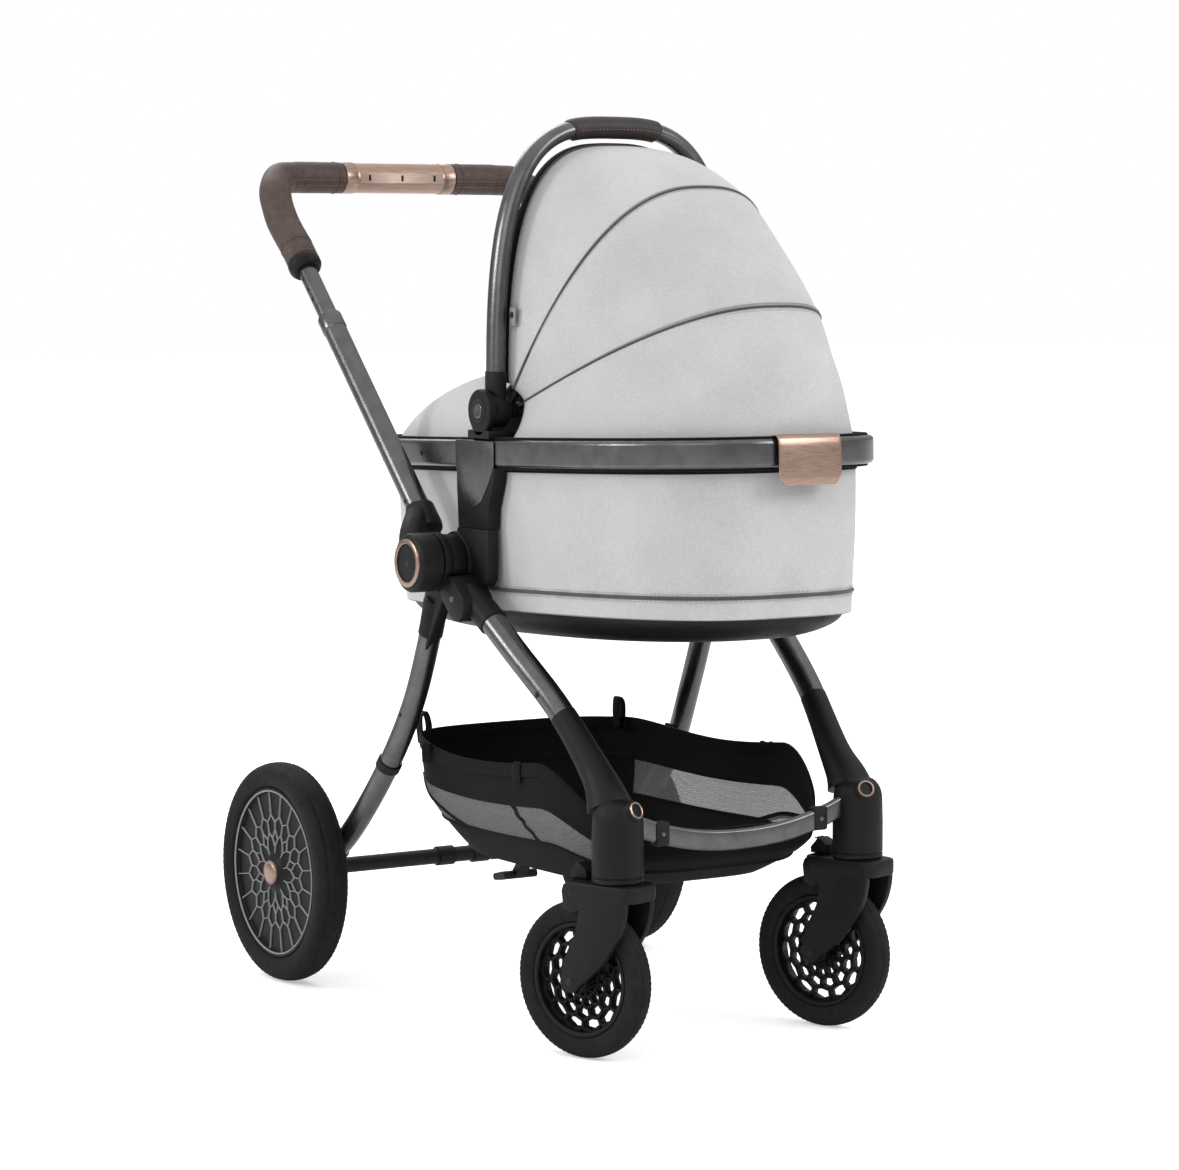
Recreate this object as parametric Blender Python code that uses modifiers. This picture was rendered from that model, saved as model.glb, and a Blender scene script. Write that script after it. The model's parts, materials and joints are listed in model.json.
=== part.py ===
"""Baby stroller: a folding chassis on four wheels that carries a lift-off carrycot with a folding hood.

Metres, +Z up. The front faces -Y, the stroller's left is +X, and the ground is z = 0.
Each piece is one object. Pieces of a moving group hang from an empty on their joint's axis.
"""

import math

import bmesh
import bpy
from mathutils import Matrix, Vector

# Clearances
FIT = 0.0003  # between pieces that touch or seat in each other
RUNNING = 0.0004  # between pieces that turn or slide in each other

# Wheels
REAR_WHEEL_RADIUS = 0.145
REAR_RIM_RADIUS = 0.1132
REAR_TYRE_WIDTH = 0.046
REAR_WHEEL_X = 0.2657
REAR_AXLE_Y = 0.3175
REAR_PIN_RADIUS = 0.006
REAR_CAP_RADIUS = 0.0165
FRONT_WHEEL_RADIUS = 0.0955
FRONT_RIM_RADIUS = 0.0695
FRONT_TYRE_WIDTH = 0.032
FRONT_PIN_RADIUS = 0.004
RIM_HOLE_RADIUS = 0.0072

# Castors
CASTOR_X = 0.1768
CASTOR_Y = -0.357
CASTOR_TRAIL = 0.050
CASTOR_TURN = math.radians(18.5)
HEAD_RADIUS = 0.0315
HEAD_BOTTOM_Z = 0.2175
HEAD_HEIGHT = 0.1035
STEM_RADIUS = 0.010
STEM_LENGTH = 0.036
CROWN_HALF_WIDTH = 0.031
CROWN_THICKNESS = 0.021
CROWN_FRONT = 0.042
CROWN_REAR = 0.065
ARM_THICKNESS = 0.010
LOCK_WIDTH = 0.024
LOCK_HEIGHT = 0.020

# Hub, where the legs and the push frame meet. Layers are distances from the middle, outwards.
HUB_Y = -0.020
HUB_Z = 0.578
HUB_RADIUS = 0.037
HOUSING_X = (0.1865, 0.2025)
EYE_X = (0.2035, 0.2225)
CHEEK_X = (0.2235, 0.2355)
EYE_RADIUS = 0.034
LEG_SOCKET_REACH = 0.050
LEG_SOCKET_RADIUS = 0.0185
RECEIVER_X = (0.1805, 0.197)
RECEIVER_Y = (-0.092, -0.0183)
RECEIVER_BOTTOM_Z = 0.5475
PUSH_X = (0.2365, 0.268)
HUB_PIN_RADIUS = 0.008
HUB_BOSS_RADIUS = 0.0235
HUB_RING_RADIUS = 0.0305
HUB_RING_HEIGHT = 0.0035

# Frame tubes
LEG_RADIUS = 0.0155
LEG_TOP_X = 0.2105
REAR_LEG_RADIUS = 0.0142
REAR_LEG_TOP_X = 0.2105
REAR_LEG_FOOT_X = 0.228
UPPER_TUBE_X = 0.217
UPPER_TUBE_RADIUS = 0.015
UPPER_TUBE_WALL = 0.0018
UPPER_TUBE_START = 0.052
UPPER_TUBE_END = 0.419
PUSH_LEAN = math.radians(44.4)
INNER_TUBE_RADIUS = UPPER_TUBE_RADIUS - UPPER_TUBE_WALL - 0.0008
INNER_TUBE_HIDDEN = 0.125
HANDLE_DROP = 0.070
KNUCKLE_START = 0.502
KNUCKLE_LENGTH = 0.0185
KNUCKLE_RADIUS = 0.0222
GRIP_RADIUS = 0.0215
HANDLE_Y = 0.480
HANDLE_Z = 1.064
HANDLE_CENTER_HALF = 0.0855
HANDLE_CENTER_RADIUS = 0.0200
BOW_DROP = 0.022
BOW_HEIGHT = 0.024
BOW_THICKNESS = 0.010

# Axle beam and brake
BEAM_RADIUS = 0.0105
BEAM_SLEEVE_RADIUS = 0.0125
BRACKET_X = (0.205, 0.240)
BRACKET_RADIUS = 0.022
BRAKE_X = 0.120
BRAKE_SLEEVE_HALF = 0.014
PEDAL_HALF_WIDTH = 0.027
PEDAL_REACH = 0.055

# Basket
BASKET_HALF_WIDTH = 0.187
BASKET_BACK_Y = 0.190
BASKET_FRONT_Y = -0.340
BASKET_BACK_Z = 0.350
BASKET_FRONT_Z = 0.277
BASKET_FLOOR_Z = 0.190
BASKET_DIP_Y = -0.190
BASKET_WALL = 0.003

# Carrycot, about the middle of its rail
COT_Y = -0.082
COT_Z = 0.7145
COT_TILT = math.radians(1.98)
COT_HALF_WIDTH = 0.195
COT_HALF_LENGTH = 0.410
COT_POWER = 3.0
RAIL_HEIGHT = 0.034
RAIL_THICKNESS = 0.019
TUB_DEPTH = 0.195
TUB_RISE = 0.010
TUB_WALL = 0.004
TUB_TAPER = 0.975
BASE_DEPTH = 0.040
MATTRESS_THICKNESS = 0.030
MATTRESS_CLEARANCE = 0.010
TAB_HALF_WIDTH = 0.045
TAB_RISE = 0.023
TAB_DROP = 0.040
TAB_THICKNESS = 0.0090
APRON_EDGE_Y = -0.040
APRON_CREST = 0.082
APRON_THICKNESS = 0.004

# Carrycot adapters
ADAPTER_HALF_DEPTH = 0.040
ADAPTER_Y = -0.056
ADAPTER_BOTTOM_Z = HUB_Z + HUB_RADIUS + 0.0055
ADAPTER_X = 0.1765
ADAPTER_THICKNESS = 0.021
TONGUE_HALF_DEPTH = 0.016
TONGUE_LENGTH = 0.028
TONGUE_THICKNESS = 0.0055

# Hood
HOOD_Y = -0.072
HOOD_Z = 0.767
HOOD_PIN_RADIUS = 0.004
ARCH_HALF_WIDTH = 0.172
ARCH_REACH = 0.351
ARCH_POWER = 3.2
ARCH_SECTION = (0.011, 0.015)
ARCH_EYE_RADIUS = 0.021
ARCH_JOINT_X = (0.185, 0.1975)
ARCH_JOINT_RADIUS = 0.027
ARCH_FOOT_THICKNESS = 0.011
CARRY_GRIP_HALF = 0.066
CARRY_GRIP_WALL = 0.0028
RIB_RADIUS = 0.0035
REAR_RIB_ANGLE = math.radians(37.0)
FRONT_RIB_ANGLE = math.radians(70.0)
ARCH_FABRIC = (0.156, 0.326)
REAR_RIB_FABRIC = (0.158, 0.340)
FRONT_RIB_FABRIC = (0.149, 0.382)
CANOPY_THICKNESS = 0.0025
CANOPY_HEM_INSET = 0.004
HEM_START = 0.026
BUTTON_RADIUS = 0.010
BUTTON_TRAVEL = 0.003

SIDES = {"left": 1, "right": -1}

# Colours as linear RGB, with roughness and metallic value
GUNMETAL = ("gunmetal", (0.075, 0.073, 0.072), 0.38, 0.85)
PLASTIC = ("black_plastic", (0.013, 0.013, 0.014), 0.55, 0.0)
RUBBER = ("rubber", (0.022, 0.022, 0.023), 0.85, 0.0)
BRONZE = ("bronze", (0.43, 0.28, 0.22), 0.32, 0.9)
LEATHER = ("brown_leather", (0.066, 0.036, 0.027), 0.65, 0.0)
FABRIC = ("grey_fabric", (0.56, 0.56, 0.55), 0.95, 0.0)
BASKET_FABRIC = ("basket_fabric", (0.016, 0.016, 0.017), 0.95, 0.0)


def make_collections():
    """The collection of the parts and the hidden one of the shapes that join or cut them."""
    parts = bpy.data.collections.new("baby_stroller")
    helpers = bpy.data.collections.new("helpers")
    bpy.context.scene.collection.children.link(parts)
    bpy.context.scene.collection.children.link(helpers)
    helpers.hide_render = True
    return parts, helpers


def material(finish):
    """The named finish as a Principled material, made once."""
    name, colour, roughness, metallic = finish
    if name in bpy.data.materials:
        return bpy.data.materials[name]
    made = bpy.data.materials.new(name)
    made.use_nodes = True
    shader = made.node_tree.nodes["Principled BSDF"]
    shader.inputs["Base Color"].default_value = (*colour, 1.0)
    shader.inputs["Roughness"].default_value = roughness
    shader.inputs["Metallic"].default_value = metallic
    made.diffuse_color = (*colour, 1.0)
    return made


def frame(name, location, rotation=(0.0, 0.0, 0.0)):
    """An empty that carries a group of pieces."""
    empty = bpy.data.objects.new(name, None)
    empty.location = location
    empty.rotation_euler = rotation
    empty.empty_display_size = 0.05
    PARTS.objects.link(empty)
    return empty


def part(name, mesh, finish, parent, location=(0, 0, 0), rotation=(0, 0, 0)):
    """A visible piece."""
    made = bpy.data.objects.new(name, mesh)
    mesh.name = name
    mesh.materials.append(material(finish))
    mesh.shade_smooth()
    mesh.set_sharp_from_angle(angle=math.radians(35.0))
    made.parent = parent
    made.location = location
    made.rotation_euler = rotation
    PARTS.objects.link(made)
    return made


def helper(name, mesh, parent, location=(0, 0, 0), rotation=(0, 0, 0)):
    """A hidden shape for a Boolean."""
    made = bpy.data.objects.new("helper_" + name, mesh)
    made.parent = parent
    made.location = location
    made.rotation_euler = rotation
    made.hide_render = True
    made.display_type = "WIRE"
    HELPERS.objects.link(made)
    return made


def combine(target, other, operation):
    """A Boolean of one kind: UNION adds the other shape, DIFFERENCE takes it away."""
    modifier = target.modifiers.new(operation.title() + " " + other.name, "BOOLEAN")
    modifier.operation = operation
    modifier.solver = "EXACT"
    modifier.object = other
    return target


def mesh_from(bm, name="shape"):
    """A mesh from a bmesh, with its normals pointing out."""
    bmesh.ops.recalc_face_normals(bm, faces=bm.faces)
    mesh = bpy.data.meshes.new(name)
    bm.to_mesh(mesh)
    bm.free()
    return mesh


def mesh_of_curve(curve):
    """The closed mesh of a curve with its caps welded."""
    source = bpy.data.objects.new("source", curve)
    bpy.context.scene.collection.objects.link(source)
    bpy.context.view_layer.update()
    graph = bpy.context.evaluated_depsgraph_get()
    raw = bpy.data.meshes.new_from_object(source.evaluated_get(graph))
    bpy.data.objects.remove(source)
    bm = bmesh.new()
    bm.from_mesh(raw)
    bmesh.ops.remove_doubles(bm, verts=bm.verts, dist=0.00001)
    return mesh_from(bm)


def tube(points, radius, resolution=3):
    """A round bar along the points, with flat ends."""
    curve = bpy.data.curves.new("path", "CURVE")
    curve.dimensions = "3D"
    curve.bevel_depth = radius
    curve.bevel_resolution = resolution
    curve.use_fill_caps = True
    spline = curve.splines.new("POLY")
    spline.points.add(len(points) - 1)
    for place, point in zip(spline.points, points):
        place.co = (*point, 1.0)
    return mesh_of_curve(curve)


def plate(outline, thickness):
    """A flat outline in XY with a thickness about z = 0."""
    curve = bpy.data.curves.new("outline", "CURVE")
    curve.dimensions = "2D"
    curve.fill_mode = "BOTH"
    curve.extrude = thickness / 2
    spline = curve.splines.new("POLY")
    spline.points.add(len(outline) - 1)
    spline.use_cyclic_u = True
    for place, point in zip(spline.points, outline):
        place.co = (*point, 0.0, 1.0)
    return mesh_of_curve(curve)


def side_plate(outline, x_range):
    """An outline in YZ that fills the range along X."""
    low, high = sorted(x_range)
    mesh = plate(outline, high - low)
    turn = Matrix(((0, 0, 1, 0), (1, 0, 0, 0), (0, 1, 0, 0), (0, 0, 0, 1)))
    mesh.transform(Matrix.Translation(((low + high) / 2, 0, 0)) @ turn)
    return mesh


def box(low, high):
    """A block between two corners."""
    bm = bmesh.new()
    bmesh.ops.create_cube(bm, size=1.0)
    low, high = Vector(low), Vector(high)
    size = high - low
    scale = Matrix.Diagonal((*size, 1.0))
    bmesh.ops.transform(bm, matrix=Matrix.Translation((low + high) / 2) @ scale, verts=bm.verts)
    return mesh_from(bm)


def cylinder(radius, length, segments=24):
    """A cylinder from z = 0 to its length."""
    bm = bmesh.new()
    bmesh.ops.create_cone(
        bm, cap_ends=True, segments=segments, radius1=radius, radius2=radius, depth=length
    )
    bmesh.ops.translate(bm, vec=(0, 0, length / 2), verts=bm.verts)
    return mesh_from(bm)


def profile_mesh(profile):
    """A line of edges in XZ, top to bottom at +X, for a Screw modifier."""
    bm = bmesh.new()
    verts = [bm.verts.new((radius, 0.0, height)) for radius, height in profile]
    for first, second in zip(verts, verts[1:]):
        bm.edges.new((first, second))
    mesh = bpy.data.meshes.new("profile")
    bm.to_mesh(mesh)
    bm.free()
    return mesh


def turn_profile(made, segments):
    """The Screw modifier that turns a profile about Z."""
    screw = made.modifiers.new("Turned", "SCREW")
    screw.steps = segments
    screw.render_steps = segments
    screw.use_merge_vertices = True
    screw.merge_threshold = 0.00005
    screw.use_smooth_shade = True
    return made


def turned(name, profile, finish, parent, location=(0, 0, 0), rotation=(0, 0, 0), segments=32):
    """A turned piece."""
    made = part(name, profile_mesh(profile), finish, parent, location, rotation)
    return turn_profile(made, segments)


def closed_ring(profile):
    """A profile that comes back to its first point."""
    return [*profile, profile[0]]


def outward(side):
    """The rotation that lays a turned piece's axis along X, away from the middle."""
    return (0.0, side * math.pi / 2, 0.0)


def oval(half_width, half_length, power, count, centre_y=0.0):
    """Points round an oval, squarer with a higher power, anticlockwise from +X."""
    points = []
    for step in range(count):
        angle = 2 * math.pi * step / count
        across, along = math.cos(angle), math.sin(angle)
        x = math.copysign(abs(across) ** (2 / power), across) * half_width
        y = math.copysign(abs(along) ** (2 / power), along) * half_length
        points.append((x, y + centre_y))
    return points


def arc(centre, radius, start, end, count):
    """Points along an arc, with both ends."""
    angles = [start + (end - start) * step / (count - 1) for step in range(count)]
    return [(centre[0] + radius * math.cos(a), centre[1] + radius * math.sin(a)) for a in angles]


def link_outline(first, first_radius, second, second_radius, count=8):
    """The outline round two circles and the straight sides between them."""
    across, up = second[0] - first[0], second[1] - first[1]
    heading = math.atan2(up, across)
    spread = math.acos((first_radius - second_radius) / math.hypot(across, up))
    start = arc(first, first_radius, heading + spread, heading + 2 * math.pi - spread, count)
    return start + arc(second, second_radius, heading - spread, heading + spread, count)


def smooth(points, per_span=4):
    """A smooth line through the points."""
    points = [Vector(p) for p in points]
    ends = [2 * points[0] - points[1], *points, 2 * points[-1] - points[-2]]
    line = []
    for before, first, second, after in zip(ends, ends[1:], ends[2:], ends[3:]):
        for step in range(per_span):
            t = step / per_span
            bend = (2 * before - 5 * first + 4 * second - after) * t * t
            twist = (3 * first - before - 3 * second + after) * t * t * t
            line.append(0.5 * (2 * first + (second - before) * t + bend + twist))
    return [*line, points[-1]]


def loft(rings, close_rings=True, cap_first=False, cap_last=False):
    """A surface through rings of the same number of points."""
    bm = bmesh.new()
    rows = [[bm.verts.new(point) for point in ring] for ring in rings]
    count = len(rows[0])
    for upper, lower in zip(rows, rows[1:]):
        for step in range(count if close_rings else count - 1):
            after = (step + 1) % count
            bm.faces.new((upper[step], upper[after], lower[after], lower[step]))
    if cap_first:
        bm.faces.new(rows[0])
    if cap_last:
        bm.faces.new(reversed(rows[-1]))
    return mesh_from(bm)


def shell(made, thickness, offset):
    """Solidify of one thickness."""
    modifier = made.modifiers.new("Wall", "SOLIDIFY")
    modifier.thickness = thickness
    modifier.offset = offset
    modifier.use_even_offset = True
    return made


def push_point(distance):
    """A point of the push frame's tubes in Y and Z, at a distance from the hub's axis."""
    return (HUB_Y + distance * math.sin(PUSH_LEAN), HUB_Z + distance * math.cos(PUSH_LEAN))


def hub_frame(name):
    return frame(name, (0, HUB_Y, HUB_Z))


def between(start, end, shares):
    """The point whose place along each axis, from the start to the end, is its share."""
    return tuple(a + (b - a) * share for a, b, share in zip(start, end, shares))


def longer(points, extra):
    """The same line with both ends moved out."""
    points = [Vector(p) for p in points]
    first = points[0] + (points[0] - points[1]).normalized() * extra
    last = points[-1] + (points[-1] - points[-2]).normalized() * extra
    return [first, *points[1:-1], last]


# Chassis


def front_leg_points(side):
    """From the hub housing, bowed forwards, into the castor head."""
    top = (side * LEG_TOP_X, HUB_Y, HUB_Z)
    foot = (side * CASTOR_X, CASTOR_Y, HEAD_BOTTOM_Z + HEAD_HEIGHT)
    shares = (
        (0.00, 0.095, 0.112),
        (0.18, 0.252, 0.241),
        (0.36, 0.430, 0.409),
        (0.69, 0.656, 0.638),
        (1.00, 0.852, 0.907),
        (1.00, 0.935, 1.035),
        (1.00, 0.975, 1.160),
    )
    return smooth([between(top, foot, share) for share in shares], 3)


def bow_points():
    """The cross bow between the castor heads, lower in its middle."""
    end_x = CASTOR_X - HEAD_RADIUS + 0.010
    end_z = HEAD_BOTTOM_Z + 0.060
    points = []
    for step in range(11):
        share = -1 + step / 5
        sag = BOW_DROP * (1 - share * share)
        points.append((end_x * share, CASTOR_Y, end_z - sag))
    return points


def bow_mesh(gap):
    """The bow's bar, flattened front to back, with an extra gap all round."""
    mesh = tube(longer(bow_points(), gap * 3) if gap else bow_points(), BOW_HEIGHT / 2 + gap, 2)
    flatten = (BOW_THICKNESS / 2 + gap) / (BOW_HEIGHT / 2 + gap)
    to_middle = Matrix.Translation((0, -CASTOR_Y, 0))
    mesh.transform(to_middle.inverted() @ Matrix.Diagonal((1, flatten, 1, 1)) @ to_middle)
    return mesh


def make_front_legs():
    for name, side in SIDES.items():
        part("front_leg_" + name, tube(front_leg_points(side), LEG_RADIUS), GUNMETAL, CHASSIS)


def make_castor_heads():
    """Castings that take the leg, the bow and the castor's stem."""
    top = HEAD_HEIGHT
    profile = [
        (0.0, top),
        (HEAD_RADIUS * 0.45, top),
        (HEAD_RADIUS * 0.75, top - 0.008),
        (HEAD_RADIUS * 0.93, top - 0.022),
        (HEAD_RADIUS, top - 0.038),
        (HEAD_RADIUS, 0.002),
        (HEAD_RADIUS - 0.002, 0.0),
        (0.0, 0.0),
    ]
    for name, side in SIDES.items():
        place = (side * CASTOR_X, CASTOR_Y, HEAD_BOTTOM_Z)
        head = turned("castor_head_" + name, profile, PLASTIC, CHASSIS, place, segments=20)
        leg = front_leg_points(side)
        sleeve = tube(leg[-7:-1], LEG_RADIUS + 0.0045)
        combine(head, helper("head_sleeve_" + name, sleeve, CHASSIS), "UNION")
        socket = tube(longer(leg, FIT), LEG_RADIUS + FIT)
        combine(head, helper("leg_socket_" + name, socket, CHASSIS), "DIFFERENCE")
        combine(head, helper("bow_socket_" + name, bow_mesh(FIT), CHASSIS), "DIFFERENCE")
        bore = cylinder(STEM_RADIUS + RUNNING, 0.020 + STEM_LENGTH + RUNNING)
        low = (place[0], place[1], HEAD_BOTTOM_Z - 0.020)
        combine(head, helper("stem_bore_" + name, bore, CHASSIS, low), "DIFFERENCE")


def make_front_bow():
    part("front_bow", bow_mesh(0.0), GUNMETAL, CHASSIS)


def receiver_outline():
    """The upright block on a hub housing that takes a carrycot adapter."""
    low_y, high_y = RECEIVER_Y
    top = ADAPTER_BOTTOM_Z - FIT
    return [
        (low_y, top),
        (low_y, RECEIVER_BOTTOM_Z + 0.012),
        (low_y + 0.012, RECEIVER_BOTTOM_Z),
        (high_y, RECEIVER_BOTTOM_Z),
        (high_y, top),
    ]


def make_hub_housings():
    """Fixed cheeks of the fold joint with its pin, the front leg's socket and the adapter's slot."""
    heading = math.atan2(0.112 * (HUB_Z - HEAD_BOTTOM_Z - HEAD_HEIGHT), 0.095 * (HUB_Y - CASTOR_Y))
    for name, side in SIDES.items():
        receiver = side_plate(receiver_outline(), [side * x for x in RECEIVER_X])
        housing = part("hub_housing_" + name, receiver, PLASTIC, CHASSIS)
        for label, (low, high) in (("inner", HOUSING_X), ("outer", CHEEK_X)):
            disc = cylinder(HUB_RADIUS, high - low, 32)
            seat = (side * low, HUB_Y, HUB_Z)
            cheek = helper(label + "_cheek_" + name, disc, CHASSIS, seat, outward(side))
            combine(housing, cheek, "UNION")
        near = (
            HUB_Y - LEG_SOCKET_REACH * math.cos(heading),
            HUB_Z - LEG_SOCKET_REACH * math.sin(heading),
        )
        far = (near[0] - 0.022 * math.cos(heading), near[1] - 0.022 * math.sin(heading))
        block = link_outline(near, LEG_SOCKET_RADIUS, far, LEG_SOCKET_RADIUS + 0.001)
        socket = side_plate(block, (side * (HOUSING_X[0] + 0.002), side * (CHEEK_X[1] - 0.001)))
        combine(housing, helper("leg_block_" + name, socket, CHASSIS), "UNION")
        room = cylinder(EYE_RADIUS + 0.001, CHEEK_X[0] - HOUSING_X[1] - 0.0004, 28)
        seat = (side * (HOUSING_X[1] + 0.0002), HUB_Y, HUB_Z)
        combine(housing, helper("eye_room_" + name, room, CHASSIS, seat, outward(side)), "DIFFERENCE")
        leg = tube(longer(front_leg_points(side), FIT), LEG_RADIUS + FIT)
        combine(housing, helper("leg_seat_" + name, leg, CHASSIS), "DIFFERENCE")
        pin = cylinder(HUB_PIN_RADIUS, PUSH_X[1] - 0.006 - HOUSING_X[0] - 0.004, 20)
        seat = (side * (HOUSING_X[0] + 0.004), HUB_Y, HUB_Z)
        combine(housing, helper("hub_pin_" + name, pin, CHASSIS, seat, outward(side)), "UNION")
        middle = side * tongue_middle()
        reach = TONGUE_THICKNESS / 2 + RUNNING
        top = ADAPTER_BOTTOM_Z - FIT
        slot = box(
            (middle - reach, ADAPTER_Y - TONGUE_HALF_DEPTH - RUNNING, top - TONGUE_LENGTH - 0.001),
            (middle + reach, ADAPTER_Y + TONGUE_HALF_DEPTH + RUNNING, top + 0.010),
        )
        combine(housing, helper("tongue_slot_" + name, slot, CHASSIS), "DIFFERENCE")


def tongue_middle():
    """The middle of an adapter's tongue along X."""
    return sum(RECEIVER_X) / 2


def basket_rim_z(y):
    """The rim's height: level at the back, then down to the bow at the front."""
    share = min(1.0, max(0.0, (BASKET_DIP_Y - y) / (BASKET_DIP_Y - BASKET_FRONT_Y)))
    return BASKET_BACK_Z + (BASKET_FRONT_Z - BASKET_BACK_Z) * share * share * (3 - 2 * share)


def make_basket():
    """An open basket of fabric, narrower at its floor."""
    middle = (BASKET_BACK_Y + BASKET_FRONT_Y) / 2
    half_length = (BASKET_BACK_Y - BASKET_FRONT_Y) / 2
    rings = []
    for depth, width, length in ((0, 1, 1), (0.45, 0.93, 0.94), (0.85, 0.78, 0.82), (1, 0.68, 0.74)):
        outline = oval(BASKET_HALF_WIDTH * width, half_length * length, 3.6, 40, middle)
        ring = []
        for x, y in outline:
            top = basket_rim_z(middle + (y - middle) / length)
            ring.append((x, y, top + (BASKET_FLOOR_Z - top) * depth))
        rings.append(ring)
    basket = part("basket", loft(rings, cap_last=True), BASKET_FABRIC, CHASSIS)
    shell(basket, BASKET_WALL, -1.0)


# Rear frame


def rear_leg_points(side):
    """From below the hub, bowed, back to the axle, from the hub's axis."""
    top = (side * REAR_LEG_TOP_X, 0, 0)
    foot = (side * REAR_LEG_FOOT_X, REAR_AXLE_Y - HUB_Y, REAR_WHEEL_RADIUS - HUB_Z)
    shares = (
        (0.05, 0.083, 0.111),
        (0.00, 0.136, 0.226),
        (0.14, 0.255, 0.439),
        (0.66, 0.421, 0.650),
        (0.89, 0.676, 0.857),
        (1.00, 0.874, 0.958),
        (1.00, 1.000, 1.000),
    )
    return smooth([between(top, foot, share) for share in shares], 2)


def make_rear_legs():
    """Bent legs, each with the eye that turns on the hub pin, its foot bracket and a wheel pin."""
    axle = (REAR_AXLE_Y - HUB_Y, REAR_WHEEL_RADIUS - HUB_Z)
    for name, side in SIDES.items():
        points = rear_leg_points(side)
        leg = part("rear_leg_" + name, tube(points, REAR_LEG_RADIUS), GUNMETAL, REAR_FRAME)
        neck_end = (points[2].y, points[2].z)
        neck = side_plate(
            link_outline((0, 0), EYE_RADIUS - 0.006, neck_end, REAR_LEG_RADIUS - 0.004),
            (side * (EYE_X[0] + 0.001), side * (EYE_X[1] - 0.002)),
        )
        combine(leg, helper("leg_neck_" + name, neck, REAR_FRAME), "UNION")
        eye = cylinder(EYE_RADIUS, EYE_X[1] - EYE_X[0], 32)
        seat = (side * EYE_X[0], 0, 0)
        combine(leg, helper("leg_eye_" + name, eye, REAR_FRAME, seat, outward(side)), "UNION")
        toe = (points[-3].y, points[-3].z)
        bracket = side_plate(
            link_outline(axle, BRACKET_RADIUS, toe, REAR_LEG_RADIUS + 0.003),
            [side * x for x in BRACKET_X],
        )
        combine(leg, helper("axle_bracket_" + name, bracket, REAR_FRAME), "UNION")
        length = REAR_WHEEL_X + REAR_TYRE_WIDTH / 2 - 0.005 - BRACKET_X[0] - 0.010
        pin = cylinder(REAR_PIN_RADIUS, length, 16)
        seat = (side * (BRACKET_X[0] + 0.010), *axle)
        combine(leg, helper("wheel_pin_" + name, pin, REAR_FRAME, seat, outward(side)), "UNION")
        bore = cylinder(HUB_PIN_RADIUS + RUNNING, 0.060)
        seat = (side * (EYE_X[0] - 0.015), 0, 0)
        combine(leg, helper("eye_bore_" + name, bore, REAR_FRAME, seat, outward(side)), "DIFFERENCE")


def make_axle_beam():
    """The beam between the brackets, thicker on the side that holds the brake."""
    half = BRACKET_X[0] - FIT
    profile = [
        (0.0, half),
        (BEAM_SLEEVE_RADIUS, half),
        (BEAM_SLEEVE_RADIUS, -0.012),
        (BEAM_RADIUS, -0.015),
        (BEAM_RADIUS, -half),
        (0.0, -half),
    ]
    place = (0, REAR_AXLE_Y - HUB_Y, REAR_WHEEL_RADIUS - HUB_Z)
    turned("rear_axle_beam", profile, PLASTIC, REAR_FRAME, place, outward(1), 20)


def make_brake_pedal():
    """A foot lever that turns on the beam."""
    inner, outer = BEAM_SLEEVE_RADIUS + RUNNING, BEAM_SLEEVE_RADIUS + 0.006
    profile = closed_ring(
        [
            (outer, BRAKE_SLEEVE_HALF),
            (outer, -BRAKE_SLEEVE_HALF),
            (inner, -BRAKE_SLEEVE_HALF),
            (inner, BRAKE_SLEEVE_HALF),
        ]
    )
    pedal = turned("brake_pedal", profile, PLASTIC, BRAKE, rotation=outward(1), segments=24)
    tip = (PEDAL_REACH * 0.62, -PEDAL_REACH * 0.78)
    start = (outer * 0.62, -outer * 0.78)
    arm = side_plate(link_outline(start, 0.0045, tip, 0.006), (-0.009, 0.009))
    combine(pedal, helper("pedal_arm", arm, BRAKE), "UNION")
    foot = side_plate(link_outline(tip, 0.006, (tip[0] + 0.020, tip[1] - 0.004), 0.005),
                      (-PEDAL_HALF_WIDTH, PEDAL_HALF_WIDTH))
    combine(pedal, helper("pedal_foot", foot, BRAKE), "UNION")


# Wheels


def tyre_profile(radius, rim_radius, width):
    """A tyre's section: a crowned tread with rounded shoulders, open inwards to the rim."""
    half = width / 2
    inner = rim_radius + FIT
    depth = radius - inner
    section = [(inner, half * 0.72), (inner + depth * 0.45, half)]
    for step in range(7):
        angle = math.pi / 2 - math.pi * step / 6
        rise = depth * 0.55 * math.cos(angle) ** 0.7
        section.append((inner + depth * 0.45 + rise, half * math.sin(angle)))
    section.append((inner, -half * 0.72))
    unique = [section[0]]
    for point in section[1:]:
        if math.dist(point, unique[-1]) > 0.0005:
            unique.append(point)
    return closed_ring(unique)


def rim_profile(radius, half_width, web, hub_radius, bore):
    """A wheel's disc: hub, thin web and a flange that seats the tyre."""
    flange = radius - 0.009
    half_hub = half_width + 0.001
    return closed_ring(
        [
            (bore, half_hub),
            (hub_radius, half_hub),
            (hub_radius + 0.004, web),
            (flange - 0.003, web),
            (flange, half_width * 0.8),
            (radius, half_width * 0.8),
            (radius, -half_width * 0.8),
            (flange, -half_width * 0.8),
            (flange - 0.003, -web),
            (hub_radius + 0.004, -web),
            (hub_radius, -half_hub),
            (bore, -half_hub),
        ]
    )


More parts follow.
